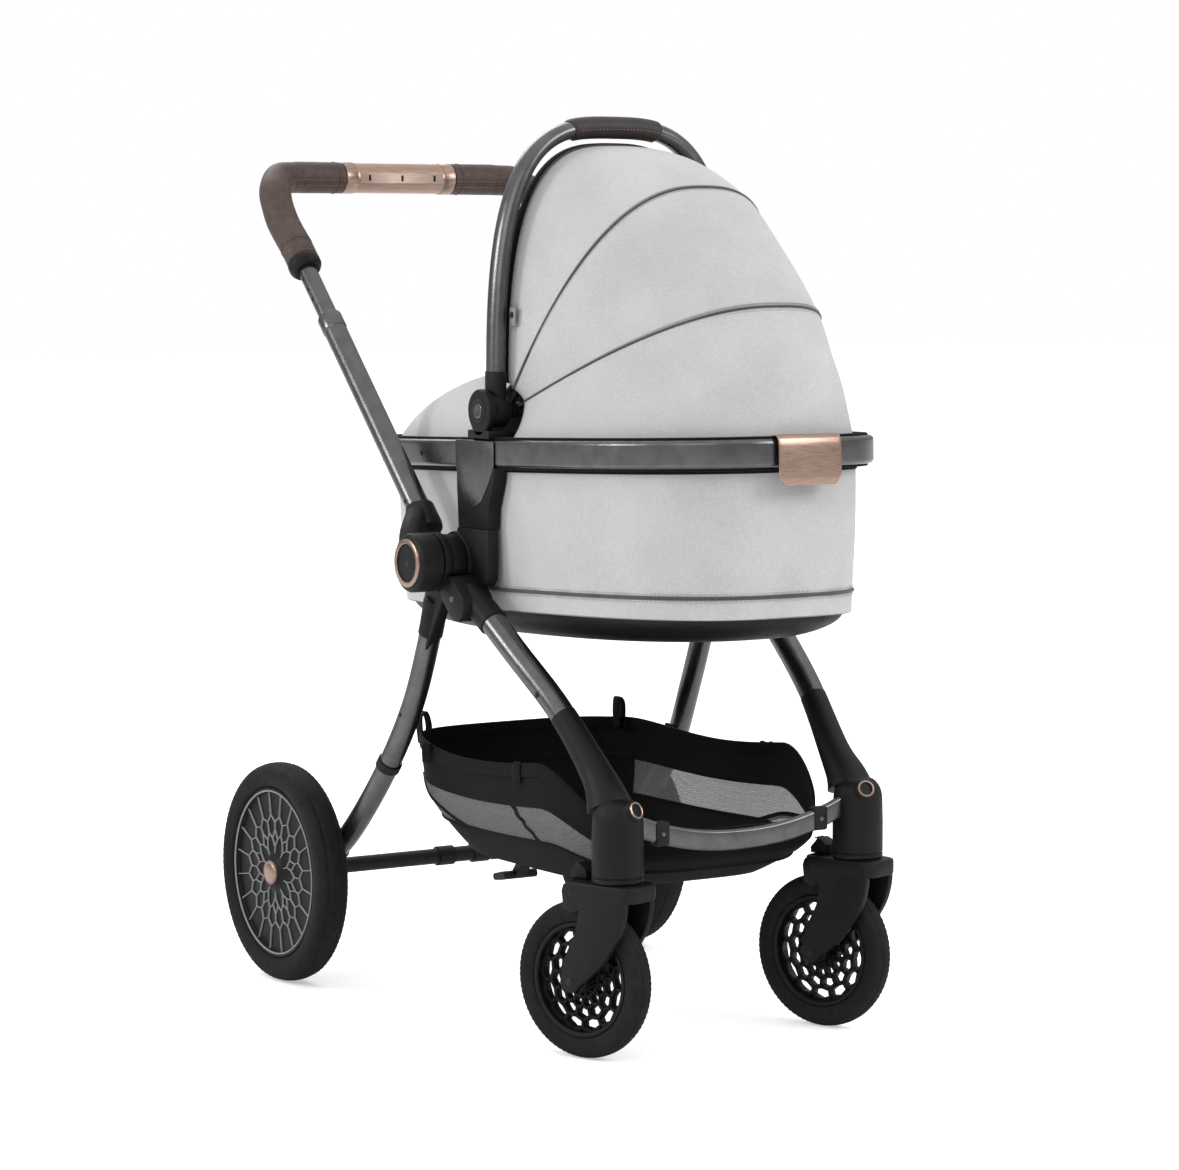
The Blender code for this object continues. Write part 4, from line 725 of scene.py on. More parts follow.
def basket_point(turn_share, depth):
    """A point of the basket's cloth: round it by a share of a turn, and down from the rim."""
    low, high = BASKET
    middle = (low + high) / 2
    half = (high - low) / 2
    angle = 2 * math.pi * turn_share
    across, along = math.cos(angle), math.sin(angle)
    x = math.copysign(abs(across) ** 0.54, across)
    y = math.copysign(abs(along) ** 0.54, along)
    lower = max(0.0, depth - 0.45) ** 1.3 / 0.46
    narrow = 1 - 0.10 * depth**2 - 0.20 * lower
    short = 1 - 0.08 * depth**2 - 0.16 * lower
    place_y = middle.y + half.y * y
    share = min(1.0, max(0.0, (-0.190 - place_y) / (-0.190 - low.y)))
    rim = high.z - 0.012 + (0.277 - high.z) * share * share * (3 - 2 * share)
    rim -= 0.012 * math.sin(math.pi * min(1.0, max(0.0, (place_y + 0.19) / 0.33))) * abs(x) ** 4
    rim += 0.016 * math.exp(-(((abs(x) - 1) / 0.10) ** 2) - ((y - 0.95) / 0.16) ** 2)
    floor = low.z + 0.004
    z = rim + (floor - rim) * depth
    wave = 0.0024 * math.sin(9 * angle + 2.0) * math.sin(math.pi * depth) * (0.4 + 0.6 * depth)
    sway = -0.004 * math.sin(math.pi * depth) * abs(math.cos(angle)) ** 3
    return Vector(((half.x * narrow + wave + sway) * x, middle.y + half.y * short * y, z))


def make_basket():
    """The cloth basket with net windows, a bound rim, a sagging floor and hanging loops."""
    bm = bmesh.new()
    columns, rows = 168, 26
    grid = []
    for row in range(rows + 1):
        ring = [basket_point(step / 600, (row / rows) ** 0.9) for step in range(601)]
        grid.append(resample(ring, columns + 1)[:-1])
    faces = skin(bm, grid, 0)
    top, bottom = round(rows * 0.30), round(rows * 0.66)
    reach = 25
    for index, face in enumerate(faces):
        row, column = divmod(index, columns)
        from_side = (column + columns // 4) % (columns // 2) - columns // 4
        if top <= row < bottom and -reach <= from_side < reach - 3:
            face.material_index = 1
    ring = grid[-1]
    centre = sum(ring, Vector()) / len(ring)
    inner = []
    for step in range(1, 7):
        share = step / 7
        sag = 0.006 * math.sin(math.pi / 2 * share)
        inner.append([point.lerp(centre, share) - Vector((0, 0, sag)) for point in ring])
    skin(bm, [ring, *inner], 0, cap_end=True)
    bmesh.ops.remove_doubles(bm, verts=bm.verts, dist=0.00002)
    area = sum(face.calc_area() for face in bm.faces)
    finishes = ["basket", "mesh"]
    bag = piece(
        "basket_bag", bm, finishes, "chassis", ["basket"],
        thickness=bpy.context.scene.stroller_sizes.basket_cloth,
    )
    edge = bmesh.new()
    rim = [point - Vector((0, 0, 0.006)) for point in grid[0]]
    sweep(edge, rim, rounded_box(0.0020, 0.0085, 0.0016, 3), 0, closed=True, up=(0, 0, 1))
    for row in (top, bottom):
        sweep(edge, grid[row], rounded_box(0.0012, 0.0040, 0.001, 3), 0, closed=True, up=(0, 0, 1))
    for start in (0, columns // 2):
        for first, last in ((-reach, -reach), (reach - 3, reach - 3), (-reach, -reach + 14), (4, 10)):
            seam = []
            for row in range(top, bottom + 1):
                share = (row - top) / (bottom - top)
                seam.append(grid[row][round(start + first + (last - first) * share) % columns])
            if first == 4 and start == 0:  # one side has the slanting seam only
                continue
            sweep(
                edge, smooth(resample(seam, 8), 3), rounded_box(0.0045, 0.0012, 0.001, 3), 0,
                up=(1, 0, 0),
            )
    binding = piece("basket_binding", edge, ["binding"], "chassis")
    straps = bmesh.new()
    for side in (-1, 1):
        corner = basket_point(0.125 if side > 0 else 0.375, 0.0)
        loop = [
            (0, 0, -0.012), (0.002, 0.001, 0.010), (0.001, 0.002, 0.024), (-0.006, 0.001, 0.028),
            (-0.010, -0.002, 0.012), (-0.009, -0.003, -0.010),
        ]
        line = smooth([corner + Vector((side * x, y, z)) for x, y, z in loop], 5)
        sweep(straps, line, rounded_box(0.0012, 0.0075, 0.001, 3), 0, up=(0, 1, 0))
        for y in (0.070, -0.150):
            hook = [
                (0.1835, y, 0.332), (0.1868, y + 0.002, 0.336), (0.1895, y + 0.003, 0.330),
                (0.1890, y + 0.003, 0.312),
            ]
            line = smooth([(side * x, b, z) for x, b, z in hook], 4)
            sweep(straps, line, rounded_box(0.0010, 0.010, 0.0008, 3), 0, up=(0, 1, 0))
    web = piece("basket_straps", straps, ["binding"], "chassis")


def make_rear_leg(name, side):
    """The bent leg, its eye on the hub, a clip, and the foot bracket with the wheel's pin."""
    bm = bmesh.new()
    path = rear_leg_path(side)
    tube(bm, path, 0.0142, 0, 32)
    hub = Vector((0, HUB.y, HUB.z))
    eye = arc((hub.y, hub.z), 0.034, 0, 2 * math.pi * 39 / 40, 40)
    prism(bm, eye, side * 0.2037, side * 0.2223, 0.001, 1)
    neck_end = path[9].yz
    prism(bm, link_outline(hub.yz, 0.028, neck_end, 0.0125), side * 0.2046, side * 0.2206, 0.003, 1)
    tube(bm, path[:9], 0.0158, 1, 32, 0.003)
    axle = (REAR_WHEEL.y, REAR_WHEEL.z)
    toe = path[-9].yz
    prism(bm, link_outline(axle, 0.022, toe, 0.0172), side * 0.2052, side * 0.2398, 0.004, 1)
    tube(bm, path[-14:-4], 0.0168, 1, 32, 0.004)
    pin = Matrix.Translation((side * 0.236, *axle)) @ outward(side)
    turn(bm, [(0.0, 0.047), (0.006, 0.0465), (0.006, 0.0095), (0.015, 0.0085), (0.0165, 0.0)], pin, 32, 2)
    clip, beyond = path[int(len(path) * 0.47) :][:2]
    ahead = (beyond - clip).normalized()
    turned = ahead.to_track_quat("Z", "X").to_matrix().to_4x4()
    band = [(0.0143, 0.006), (0.0162, 0.0055), (0.0162, -0.0055), (0.0143, -0.006)]
    turn(bm, band, Matrix.Translation(clip) @ turned, 32, 1)
    low = clip + Vector((-0.004, 0.010, -0.004))
    block(bm, low, low + Vector((0.008, 0.014, 0.008)), 0.0015, 1)
    for share in (0.16, 0.36):
        at = Matrix.Translation(path[int(len(path) * share)]) @ outward(side)
        turn(bm, [(0, 0.0152), (0.0022, 0.0149), (0.003, 0.0141), (0.003, 0.01)], at, 16, 1)
    finishes = ["gunmetal", "plastic", "grey_plastic"]
    piece("leg_rear_" + name, bm, finishes, "rear_frame", ["rear_leg_" + name])


def make_axle_and_brake():
    bm = bmesh.new()
    at = Matrix.Translation((0, REAR_WHEEL.y, REAR_WHEEL.z)) @ outward(1)
    turn(
        bm,
        [
            (0.0, 0.2045), (0.0123, 0.2043), (0.0123, 0.054), (0.0105, 0.052), (0.0105, -0.2043),
            (0.0, -0.2045),
        ],
        at, 40, 0,
    )
    for x in (-0.020, 0.035):
        cuff = at @ Matrix.Translation((0, 0, x))
        turn(bm, [(0.0105, 0.013), (0.0132, 0.012), (0.0132, -0.012), (0.0105, -0.013)], cuff, 40, 1)
    piece("axle_rear", bm, ["grey_plastic", "plastic"], "rear_frame", ["rear_axle_beam"])
    paint("brake_pedal", "plastic")


# Wheels


def tyre_section(radius, rim, width, grooves):
    """A tyre's section from the outer bead over the tread to the inner bead."""
    half = width / 2
    depth = radius - rim
    points = [(rim, half * 0.70), (rim + depth * 0.10, half * 0.86), (rim + depth * 0.42, half)]
    count = 25
    for step in range(1, count):
        angle = math.pi / 2 - math.pi * step / count
        rise = depth * 0.58 * max(0.0, math.cos(angle)) ** 0.62
        along = half * math.sin(angle)
        cut = 0.0
        for place in grooves:
            if abs(along - place * half) < half * 0.055:
                cut = bpy.context.scene.stroller_sizes.tread_depth
        points.append((rim + depth * 0.42 + rise - cut, along))
    points += [(rim + depth * 0.42, -half), (rim + depth * 0.10, -half * 0.86), (rim, -half * 0.70)]
    return points


def add_tyre(bm, at, radius, rim, width, grooves, segments, blocks):
    """The tyre turned about its axle, with shallow cross cuts on its shoulders."""
    section = tyre_section(radius, rim, width, grooves)
    rings = []
    for step in range(segments):
        angle = 2 * math.pi * step / segments
        ring = []
        for distance, along in section:
            shoulder = abs(along) > width * 0.26 and distance > rim + (radius - rim) * 0.5
            cut = 0.0007 if shoulder and step % blocks == 0 else 0.0
            reach = distance - cut
            ring.append(at @ Vector((reach * math.cos(angle), reach * math.sin(angle), along)))
        rings.append(ring)
    skin(bm, [*rings, rings[0]], 0)


def strut(bm, at, first, second, width, low, high, material):
    """A thin rib of a wheel's web between two points of its plane."""
    first, second = Vector(first), Vector(second)
    ahead = (second - first).normalized()
    across = Vector((-ahead.y, ahead.x)) * width / 2
    first, second = first - ahead * width * 0.3, second + ahead * width * 0.3
    corners = [first + across, second + across, second - across, first - across]
    narrow = [first + across * 0.55, second + across * 0.55, second - across * 0.55, first - across * 0.55]
    bottom = [bm.verts.new(at @ Vector((*c, low))) for c in corners]
    middle = [bm.verts.new(at @ Vector((*c, high - width * 0.3))) for c in corners]
    top = [bm.verts.new(at @ Vector((*c, high))) for c in narrow]
    for lower, upper in ((bottom, middle), (middle, top)):
        for step in range(4):
            after = (step + 1) % 4
            bm.faces.new((lower[step], lower[after], upper[after], upper[step])).material_index = material
    bm.faces.new(top).material_index = material
    bm.faces.new(list(reversed(bottom))).material_index = material


def polar(radius, turn_share):
    angle = 2 * math.pi * turn_share
    return (radius * math.cos(angle), radius * math.sin(angle))


def rear_web(count=10):
    """The branching web of a rear wheel: forked spokes, a ring of cells, forks, straight outer spokes."""
    lines = []
    step = 1 / count
    for index in range(count):
        at = index * step
        lines.append((polar(0.018, at), polar(0.034, at)))
        for sign in (-1, 1):
            fork = at + sign * step / 4
            lines.append((polar(0.034, at), polar(0.045, fork)))
            lines.append((polar(0.045, fork), polar(0.053, at + sign * step / 2)))
            lines.append((polar(0.045, fork), polar(0.057, at)))
        lines.append((polar(0.053, at + step / 2), polar(0.067, at + step / 2)))
        lines.append((polar(0.057, at), polar(0.067, at)))
        for spoke in (at, at + step / 2):
            for sign in (-1, 1):
                lines.append((polar(0.067, spoke), polar(0.076, spoke + sign * step / 4)))
            lines.append((polar(0.076, spoke + step / 4), polar(0.1075, spoke + step / 4)))
    return lines


def honeycomb(rings, count):
    """A front wheel's web: rings of six-sided cells, growing outwards."""
    lines = []
    step = 1 / count
    for index, (inner, outer) in enumerate(rings):
        shift = step / 2 * (index % 2)
        for cell in range(count):
            at = cell * step + shift
            half_rise = (outer - inner) * 0.28
            lines.append((polar(inner + half_rise, at), polar(outer - half_rise, at)))
            for sign in (-1, 1):
                lines.append((polar(outer - half_rise, at), polar(outer, at + sign * step / 2)))
            if index == 0:
                for sign in (-1, 1):
                    lines.append((polar(inner + half_rise, at), polar(inner, at + sign * step / 2)))
    return lines


def make_rear_wheel(name, side):
    place = Matrix.Translation((side * REAR_WHEEL.x, REAR_WHEEL.y, REAR_WHEEL.z)) @ outward(side)
    body = "rear_wheel_" + name
    bm = bmesh.new()
    add_tyre(bm, place, REAR_WHEEL.z, 0.1136, 0.0456, (-0.42, 0.0, 0.42), 192, 2)
    piece("tyre_rear_" + name, bm, ["rubber"], body, ["rear_tyre_" + name], angle=50)
    bm = bmesh.new()
    rim = [
        (0.1134, 0.0135), (0.1122, 0.0166), (0.1085, 0.0172), (0.1068, 0.0162), (0.1062, 0.0135),
        (0.1050, 0.0120), (0.030, 0.0120), (0.0195, 0.0165), (0.0178, 0.0185), (0.0165, 0.0185),
        (0.0065, 0.0185), (0.0065, -0.0195), (0.0205, -0.0195), (0.0235, -0.004), (0.030, -0.002),
        (0.1040, -0.002), (0.1060, -0.0145), (0.1122, -0.0152), (0.1134, -0.0135),
    ]
    turn(bm, rim, place, 96, 1, closed=True)
    rib = bpy.context.scene.stroller_sizes.web_rib
    for first, second in rear_web():
        strut(bm, place, first, second, rib, 0.0118, 0.0142, 0)
        strut(bm, place, first, second, rib, -0.0042, -0.0018, 0)
    lip = [(0.1092, 0.0170), (0.1086, 0.0180), (0.1072, 0.0178), (0.1066, 0.0166), (0.1080, 0.0158)]
    turn(bm, lip, place, 96, 0, closed=True)
    piece("wheel_rear_" + name, bm, ["web", "deep"], body, ["rear_rim_" + name])
    bm = bmesh.new()
    cap = [
        (0.0, 0.0236), (0.0112, 0.0235), (0.0122, 0.0229), (0.0132, 0.0229), (0.0142, 0.0234),
        (0.0155, 0.0226), (0.0163, 0.0208), (0.0165, 0.0186), (0.0, 0.0186),
    ]
    turn(bm, cap, place, 56, 0)
    piece("hubcap_rear_" + name, bm, ["bronze"], body, ["rear_cap_" + name])


def make_front_wheel(name, side):
    place = castor_matrix(side) @ Matrix.Translation((0, CASTOR_TRAIL, FRONT_WHEEL.z)) @ outward(side)
    body = "front_wheel_" + name
    bm = bmesh.new()
    add_tyre(bm, place, FRONT_WHEEL.z, 0.0699, 0.0317, (-0.4, 0.0, 0.4), 160, 2)
    piece("tyre_front_" + name, bm, ["rubber"], body, ["front_tyre_" + name], angle=50)
    bm = bmesh.new()
    ring = [
        (0.0697, 0.0110), (0.0688, 0.0122), (0.0655, 0.0126), (0.0640, 0.0112), (0.0632, 0.0),
        (0.0640, -0.0112), (0.0655, -0.0126), (0.0688, -0.0122), (0.0697, -0.0110),
    ]
    turn(bm, ring, place, 80, 0, closed=True)
    hub = [
        (0.0045, 0.0145), (0.0115, 0.0145), (0.0130, 0.0130), (0.0130, -0.0130), (0.0115, -0.0145),
        (0.0045, -0.0145),
    ]
    turn(bm, hub, place, 40, 0, closed=True)
    for first, second in honeycomb(
        ((0.0125, 0.0235), (0.0235, 0.0360), (0.0360, 0.0500), (0.0500, 0.0642)), 13,
    ):
        strut(bm, place, first, second, 0.0056, -0.0050, 0.0050, 1)
    piece("wheel_front_" + name, bm, ["plastic", "deep"], body, ["front_rim_" + name])


def make_fork(name, side):
    """The castor's crown with its cheeks, two curved arms, the stem and the axle."""
    place = castor_matrix(side)
    top = CASTOR.z - 0.0006
    bm = bmesh.new()
    outline = [(y + 0.0115, x) for x, y in rounded_box(0.0308, 0.0533, 0.018, 8)]
    to_flat = Matrix(((0, 0, 1, 0), (0, 1, 0, 0), (1, 0, 0, 0), (0, 0, 0, 1)))
    crown = place @ Matrix.Translation((0, 0, top))
    prism(bm, outline, -0.0205, 0.0, 0.0035, 0, crown @ to_flat)
    axle = (CASTOR_TRAIL, FRONT_WHEEL.z)
    for hand in (-1, 1):
        front = [
            (-0.032, -0.006), (-0.033, -0.030), (-0.024, -0.060), (-0.002, -0.092), (0.022, -0.115),
            (0.037, -0.126),
        ]
        front = smooth([(y, top + z, 0) for y, z in front], 5)
        back = [(0.0632, -0.112), (0.056, -0.088), (0.042, -0.060), (0.037, -0.034), (0.038, -0.006)]
        back = smooth([(y, top + z, 0) for y, z in back], 5)
        foot = arc(axle, 0.0135, 1.2 * math.pi, 2.06 * math.pi, 9)
        arm = [(p.x, p.y) for p in front[:-1]] + foot + [(p.x, p.y) for p in back[1:]]
        prism(bm, arm, hand * 0.0205, hand * 0.0301, 0.0022, 0, place)
        cheek = [
            (0.022, top - 0.004), (0.060, top - 0.004), (0.063, top - 0.012), (0.060, top - 0.034),
            (0.046, top - 0.038), (0.026, top - 0.030),
        ]
        prism(bm, cheek, hand * 0.0225, hand * 0.0300, 0.002, 0, place)
        bolt = place @ Matrix.Translation((hand * 0.0298, *axle)) @ outward(hand)
        turn(bm, [(0.0, 0.0016), (0.0035, 0.0015), (0.0048, 0.0008), (0.0050, -0.001)], bolt, 28, 1)
        screw = place @ Matrix.Translation((hand * 0.0302, -0.008, top - 0.011)) @ outward(hand)
        turn(bm, [(0.0, 0.0002), (0.0022, 0.0004), (0.0028, -0.0006)], screw, 20, 1)
    turn(bm, [(0.0, 0.036), (0.0098, 0.0355), (0.0098, -0.003), (0.0, -0.003)], crown, 32, 1)
    pin = place @ Matrix.Translation((0, *axle)) @ outward(1)
    turn(bm, [(0.0, 0.0215), (0.0038, 0.0214), (0.0038, -0.0214), (0.0, -0.0215)], pin, 20, 1)
    piece("fork_" + name, bm, ["plastic", "grey_plastic"], "castor_" + name, ["castor_fork_" + name])
    bm = bmesh.new()
    lock = [
        (0.063, top + 0.001), (0.064, top + 0.008), (0.053, top + 0.0205), (0.0475, top + 0.0185),
        (0.0395, top + 0.012), (0.0385, top + 0.001),
    ]
    prism(bm, lock, -0.0118, 0.0118, 0.0018, 0, place)
    for step in range(3):
        x = -0.006 + 0.006 * step
        block(bm, (x - 0.0009, 0.054, top + 0.0185), (x + 0.0009, 0.060, top + 0.0205), 0.0004, 0, place)
    piece("lock_lever_" + name, bm, ["plastic"], "swivel_lock_" + name, ["swivel_lock_" + name])


# Push frame and handle


def push_point(distance, side=0):
    return Vector((side * PUSH_TUBE_X, HUB.y, HUB.z)) + PUSH * distance


def push_matrix(side, distance=0.0):
    return Matrix.Translation(push_point(distance, side)) @ PUSH.to_track_quat("Z", "X").to_matrix().to_4x4()


def make_upper_tube(name, side):
    bm = bmesh.new()
    turn(bm, [(0.0128, 0.4188), (0.0150, 0.4185), (0.0150, 0.053), (0.0, 0.0525)], push_matrix(side), 40, 0)
    turn(bm, [(0.0129, 0.30), (0.0129, 0.4188)], push_matrix(side), 40, 1)
    collar = [
        (0.0130, 0.4192), (0.0155, 0.4190), (0.0161, 0.4175), (0.0161, 0.397), (0.0156, 0.395),
        (0.0150, 0.394),
    ]
    turn(bm, collar, push_matrix(side), 40, 0)
    for distance in (0.405, 0.10):
        rivet = Matrix.Translation(push_point(distance, side)) @ outward(side)
        turn(
            bm, [(0, 0.0170 if distance > 0.3 else 0.0156), (0.0024, 0.0153), (0.003, 0.0145)],
            rivet, 18, 1,
        )
    piece("push_tube_" + name, bm, ["gunmetal", "plastic"], "push_frame", ["upper_tube_" + name])


def make_push_hub(name, side):
    """The fold joint's outer disc with the tube's sleeve and a recessed flat boss."""
    bm = bmesh.new()
    at = Matrix.Translation((side * 0.2368, HUB.y, HUB.z)) @ outward(side)
    profile = [
        (0.0, 0.0326), (0.0180, 0.0326), (0.0200, 0.0324), (0.0232, 0.0326), (0.0233, 0.0316),
        (0.0302, 0.0314), (0.0306, 0.0318), (0.0336, 0.0312), (0.0358, 0.0296), (0.0370, 0.0268),
        (0.0370, 0.0012), (0.0358, 0.0), (0.0, 0.0),
    ]
    turn(bm, profile, at, 72, 0)
    socket = [
        (0.0152, 0.0870), (0.0182, 0.0868), (0.0192, 0.0850), (0.0194, 0.0560), (0.0180, 0.0500),
        (0.0, 0.0500),
    ]
    turn(bm, socket, push_matrix(side), 44, 0)
    neck = [
        (0.2500, 0.012), (0.2480, 0.030), (0.2400, 0.048), (0.2290, 0.064), (0.2200, 0.078),
        (0.2172, 0.0865),
    ]
    path = smooth([Vector((side * x, HUB.y, HUB.z)) + PUSH * distance for x, distance in neck], 4)
    count = len(path)
    tube(bm, path, [0.0185 - 0.0012 * step / count for step in range(count)], 0, 36, 0.001)
    turn(bm, [(0.0, 0.0332), (0.0042, 0.0331), (0.0050, 0.0325)], at, 32, 1)
    piece("fold_disc_" + name, bm, ["plastic", "grey_plastic"], "push_frame", ["push_hub_" + name])
    bm = bmesh.new()
    ring = [
        (0.0240, 0.0340), (0.0250, 0.0348), (0.0290, 0.0346), (0.0302, 0.0336), (0.0303, 0.0318),
        (0.0240, 0.0318),
    ]
    turn(bm, ring, at, 72, 0, closed=True)
    piece("ring_hub_" + name, bm, ["bronze"], "push_frame", ["hub_ring_" + name])


def make_inner_tube(name, side):
    bm = bmesh.new()
    turn(bm, [(0.0, 0.5145), (0.0123, 0.5142), (0.0123, 0.2950), (0.0, 0.2945)], push_matrix(side), 40, 0)
    for step in range(3):
        at = Matrix.Translation(push_point(0.452 + 0.018 * step, side)) @ outward(side)
        turn(bm, [(0, 0.0125), (0.0022, 0.0126), (0.0026, 0.0119)], at, 18, 1)
    piece("slide_tube_" + name, bm, ["gunmetal", "plastic"], "handle", ["inner_tube_" + name])
    bm = bmesh.new()
    collar = [
        (0.0126, 0.5030), (0.0172, 0.5030), (0.0190, 0.5045), (0.0214, 0.5085), (0.0221, 0.5110),
        (0.0221, 0.5180), (0.0212, 0.5200), (0.0, 0.5202),
    ]
    turn(bm, collar, push_matrix(side), 44, 0)
    piece("collar_handle_" + name, bm, ["plastic"], "handle", ["handle_knuckle_" + name])


def handle_path(side):
    """From the collar, up and round the corner, to the middle piece."""
    low, high = corners("handle_center")
    bar = (low + high) / 2
    start = push_point(0.5208, side)
    straight_end = push_point(0.5465, side)
    x = PUSH_TUBE_X
    corner = [
        (side * (x - 0.002), bar.y - 0.077, bar.z - 0.063),
        (side * (x - 0.008), bar.y - 0.044, bar.z - 0.028),
        (side * (x - 0.030), bar.y - 0.012, bar.z - 0.004),
        (side * (x - 0.062), bar.y, bar.z),
    ]
    bend = smooth([straight_end, *corner], 8)
    end = Vector((side * (high.x + 0.0004), bar.y, bar.z))
    return [start, *bend, *[bend[-1].lerp(end, step / 6) for step in range(1, 7)]]


def stitches(bm, path, offsets, pitch, material=0, radius=0.0006):
    """A running seam: short bars of thread laid along a line, a little off it."""
    line = [point + offset for point, offset in zip(path, offsets)]
    total = sum((b - a).length for a, b in zip(line, line[1:]))
    count = max(3, int(total / pitch))
    places = resample(line, count * 2 + 1)
    for index in range(0, len(places) - 1, 2):
        first, second = places[index], places[index + 1]
        sweep(bm, [first, first.lerp(second, 0.9)], circle(radius, 6), material)


def make_grip(name, side):
    """The leather sleeve with its closing seam on the inside of the bend and a turned end."""
    path = handle_path(side)
    bm = bmesh.new()
    count = len(path)
    radii = []
    for step in range(count):
        share = step / (count - 1)
        radii.append(0.0212 + 0.0004 * math.sin(share * 30) * math.sin(math.pi * share))
    tube(bm, path, radii, 0, 40, 0.0016)
    frames = frames_along(path)
    inside = []
    for point, across, upwards in frames:
        toward = Vector((0, HUB.y, HUB.z + 0.30)) - point
        ahead = across.cross(upwards)
        toward -= ahead * toward.dot(ahead)
        inside.append(toward.normalized())
    seam = [point + offset * 0.0209 for (point, _, _), offset in zip(frames, inside)]
    sweep(bm, seam, circle(0.0009, 8), 0)
    for sign in (-1, 1):
        offsets = []
        for (point, across, upwards), offset in zip(frames, inside):
            ahead = across.cross(upwards)
            sideways = offset.cross(ahead).normalized()
            offsets.append((offset * 0.97 + sideways * 0.18 * sign).normalized() * 0.0213)
        stitches(bm, path, offsets, 0.0052, 1)
    for at in (1, -2):
        point, across, upwards = frames[at]
        ring = [point + across * x + upwards * y for x, y in circle(0.0213, 48)]
        sweep(bm, ring, circle(0.0007, 6), 0, closed=True)
    piece("grip_" + name, bm, ["leather", "thread"], "handle", ["handle_grip_" + name])


def make_center_sleeve():
    """The bright middle sleeve: a plate with three small dark slots, and a collar at each end."""
    low, high = corners("handle_center")
    bar = (low + high) / 2
    at = Matrix.Translation(bar) @ outward(1)
    half = high.x
    bm = bmesh.new()
    profile = [
        (0.0, half), (0.0207, half), (0.0214, half - 0.0008), (0.0214, half - 0.0165),
        (0.0209, half - 0.0172), (0.0204, half - 0.0172), (0.0204, -half + 0.0172),
        (0.0209, -half + 0.0172), (0.0214, -half + 0.0165), (0.0214, -half + 0.0008), (0.0207, -half),
        (0.0, -half),
    ]
    turn(bm, profile, at, 64, 0)
    flat = Matrix.Translation(bar)
    front = -0.0200
    near, far = front - 0.0012, front + 0.003
    prism(
        bm, [(near, -0.0068), (far, -0.0075), (far, 0.0075), (near, 0.0068)],
        -half + 0.0205, half - 0.0205, 0.0006, 1, flat,
    )
    for x in (-0.051, 0.0, 0.051):
        block(
            bm, (x - 0.0018, front - 0.0016, -0.0040), (x + 0.0018, front + 0.001, 0.0040), 0.0005,
            2, flat,
        )
    finishes = ["bronze", "pale_bronze", "deep"]
    piece("sleeve_handle", bm, finishes, "handle", ["handle_center"])


# Carrycot


def cot_ring(inset, z, count=144, scale=1.0, power=3.0):
    """A ring of the carrycot's outline in the world, moved in from the rail's outside."""
    width, length = (COT_HALF_WIDTH - inset) * scale, (COT_HALF_LENGTH - inset) * scale
    return [COT @ Vector((p.x, p.y, z)) for p in oval(width, length, power, count)]


def make_rail():
    """The carrying rail: a flat bar with a rounded face, bent round the tub."""
    bm = bmesh.new()
    half, edge = RAIL_HEIGHT / 2, 0.0055
    outer = [
        (edge - edge * math.cos(a), half - edge + edge * math.sin(a))
        for a in [math.pi / 2 * s / 4 for s in range(5)]
    ]
    inner = [
        (RAIL_THICKNESS - 0.0012, half), (RAIL_THICKNESS, half - 0.0012),
        (RAIL_THICKNESS, -half + 0.0012), (RAIL_THICKNESS - 0.0012, -half),
    ]
    section = [*outer, *inner]
    # the mirrored half holds the inner wall again, so that hidden wall is laid twice
    section += [(x, -z) for x, z in reversed(section)]
    rings = [cot_ring(inset, z, 200) for inset, z in section]
    skin(bm, [*rings, rings[0]], 0)
    for side in (-1, 1):
        for y in (0.060, 0.155):
            at = COT @ Matrix.Translation((side * (COT_HALF_WIDTH - 0.0008), y, 0)) @ outward(side)
            turn(bm, [(0.0, 0.0016), (0.003, 0.0012), (0.004, 0.0)], at, 20, 1)
    piece("rail_carrycot", bm, ["gunmetal", "plastic"], "carrycot", ["cot_rail"], angle=50)
    bm = bmesh.new()
    for z in (half + 0.0012, -half - 0.0012):
        line = cot_ring(RAIL_THICKNESS * 0.62, z, 200)
        sweep(bm, line, rounded_box(0.0058, 0.0016, 0.0012, 3), 0, closed=True, up=(0, 0, 1))
    piece("rail_gasket", bm, ["binding"], "carrycot")


def tub_rows():
    """(inset, height, scale) rows of the tub's outside, top to bottom."""
    rows = []
    top, bottom = 0.006, -TUB_DEPTH
    for step in range(26):
        share = step / 25
        z = top + (bottom - top) * share
        crown = 0.0022 * math.sin(math.pi * min(1.0, share / 0.86)) if share < 0.86 else 0.0
        scale = 1 - TUB_TAPER * share
        rows.append((RAIL_THICKNESS + 0.0015 - crown, z, scale))
    return rows


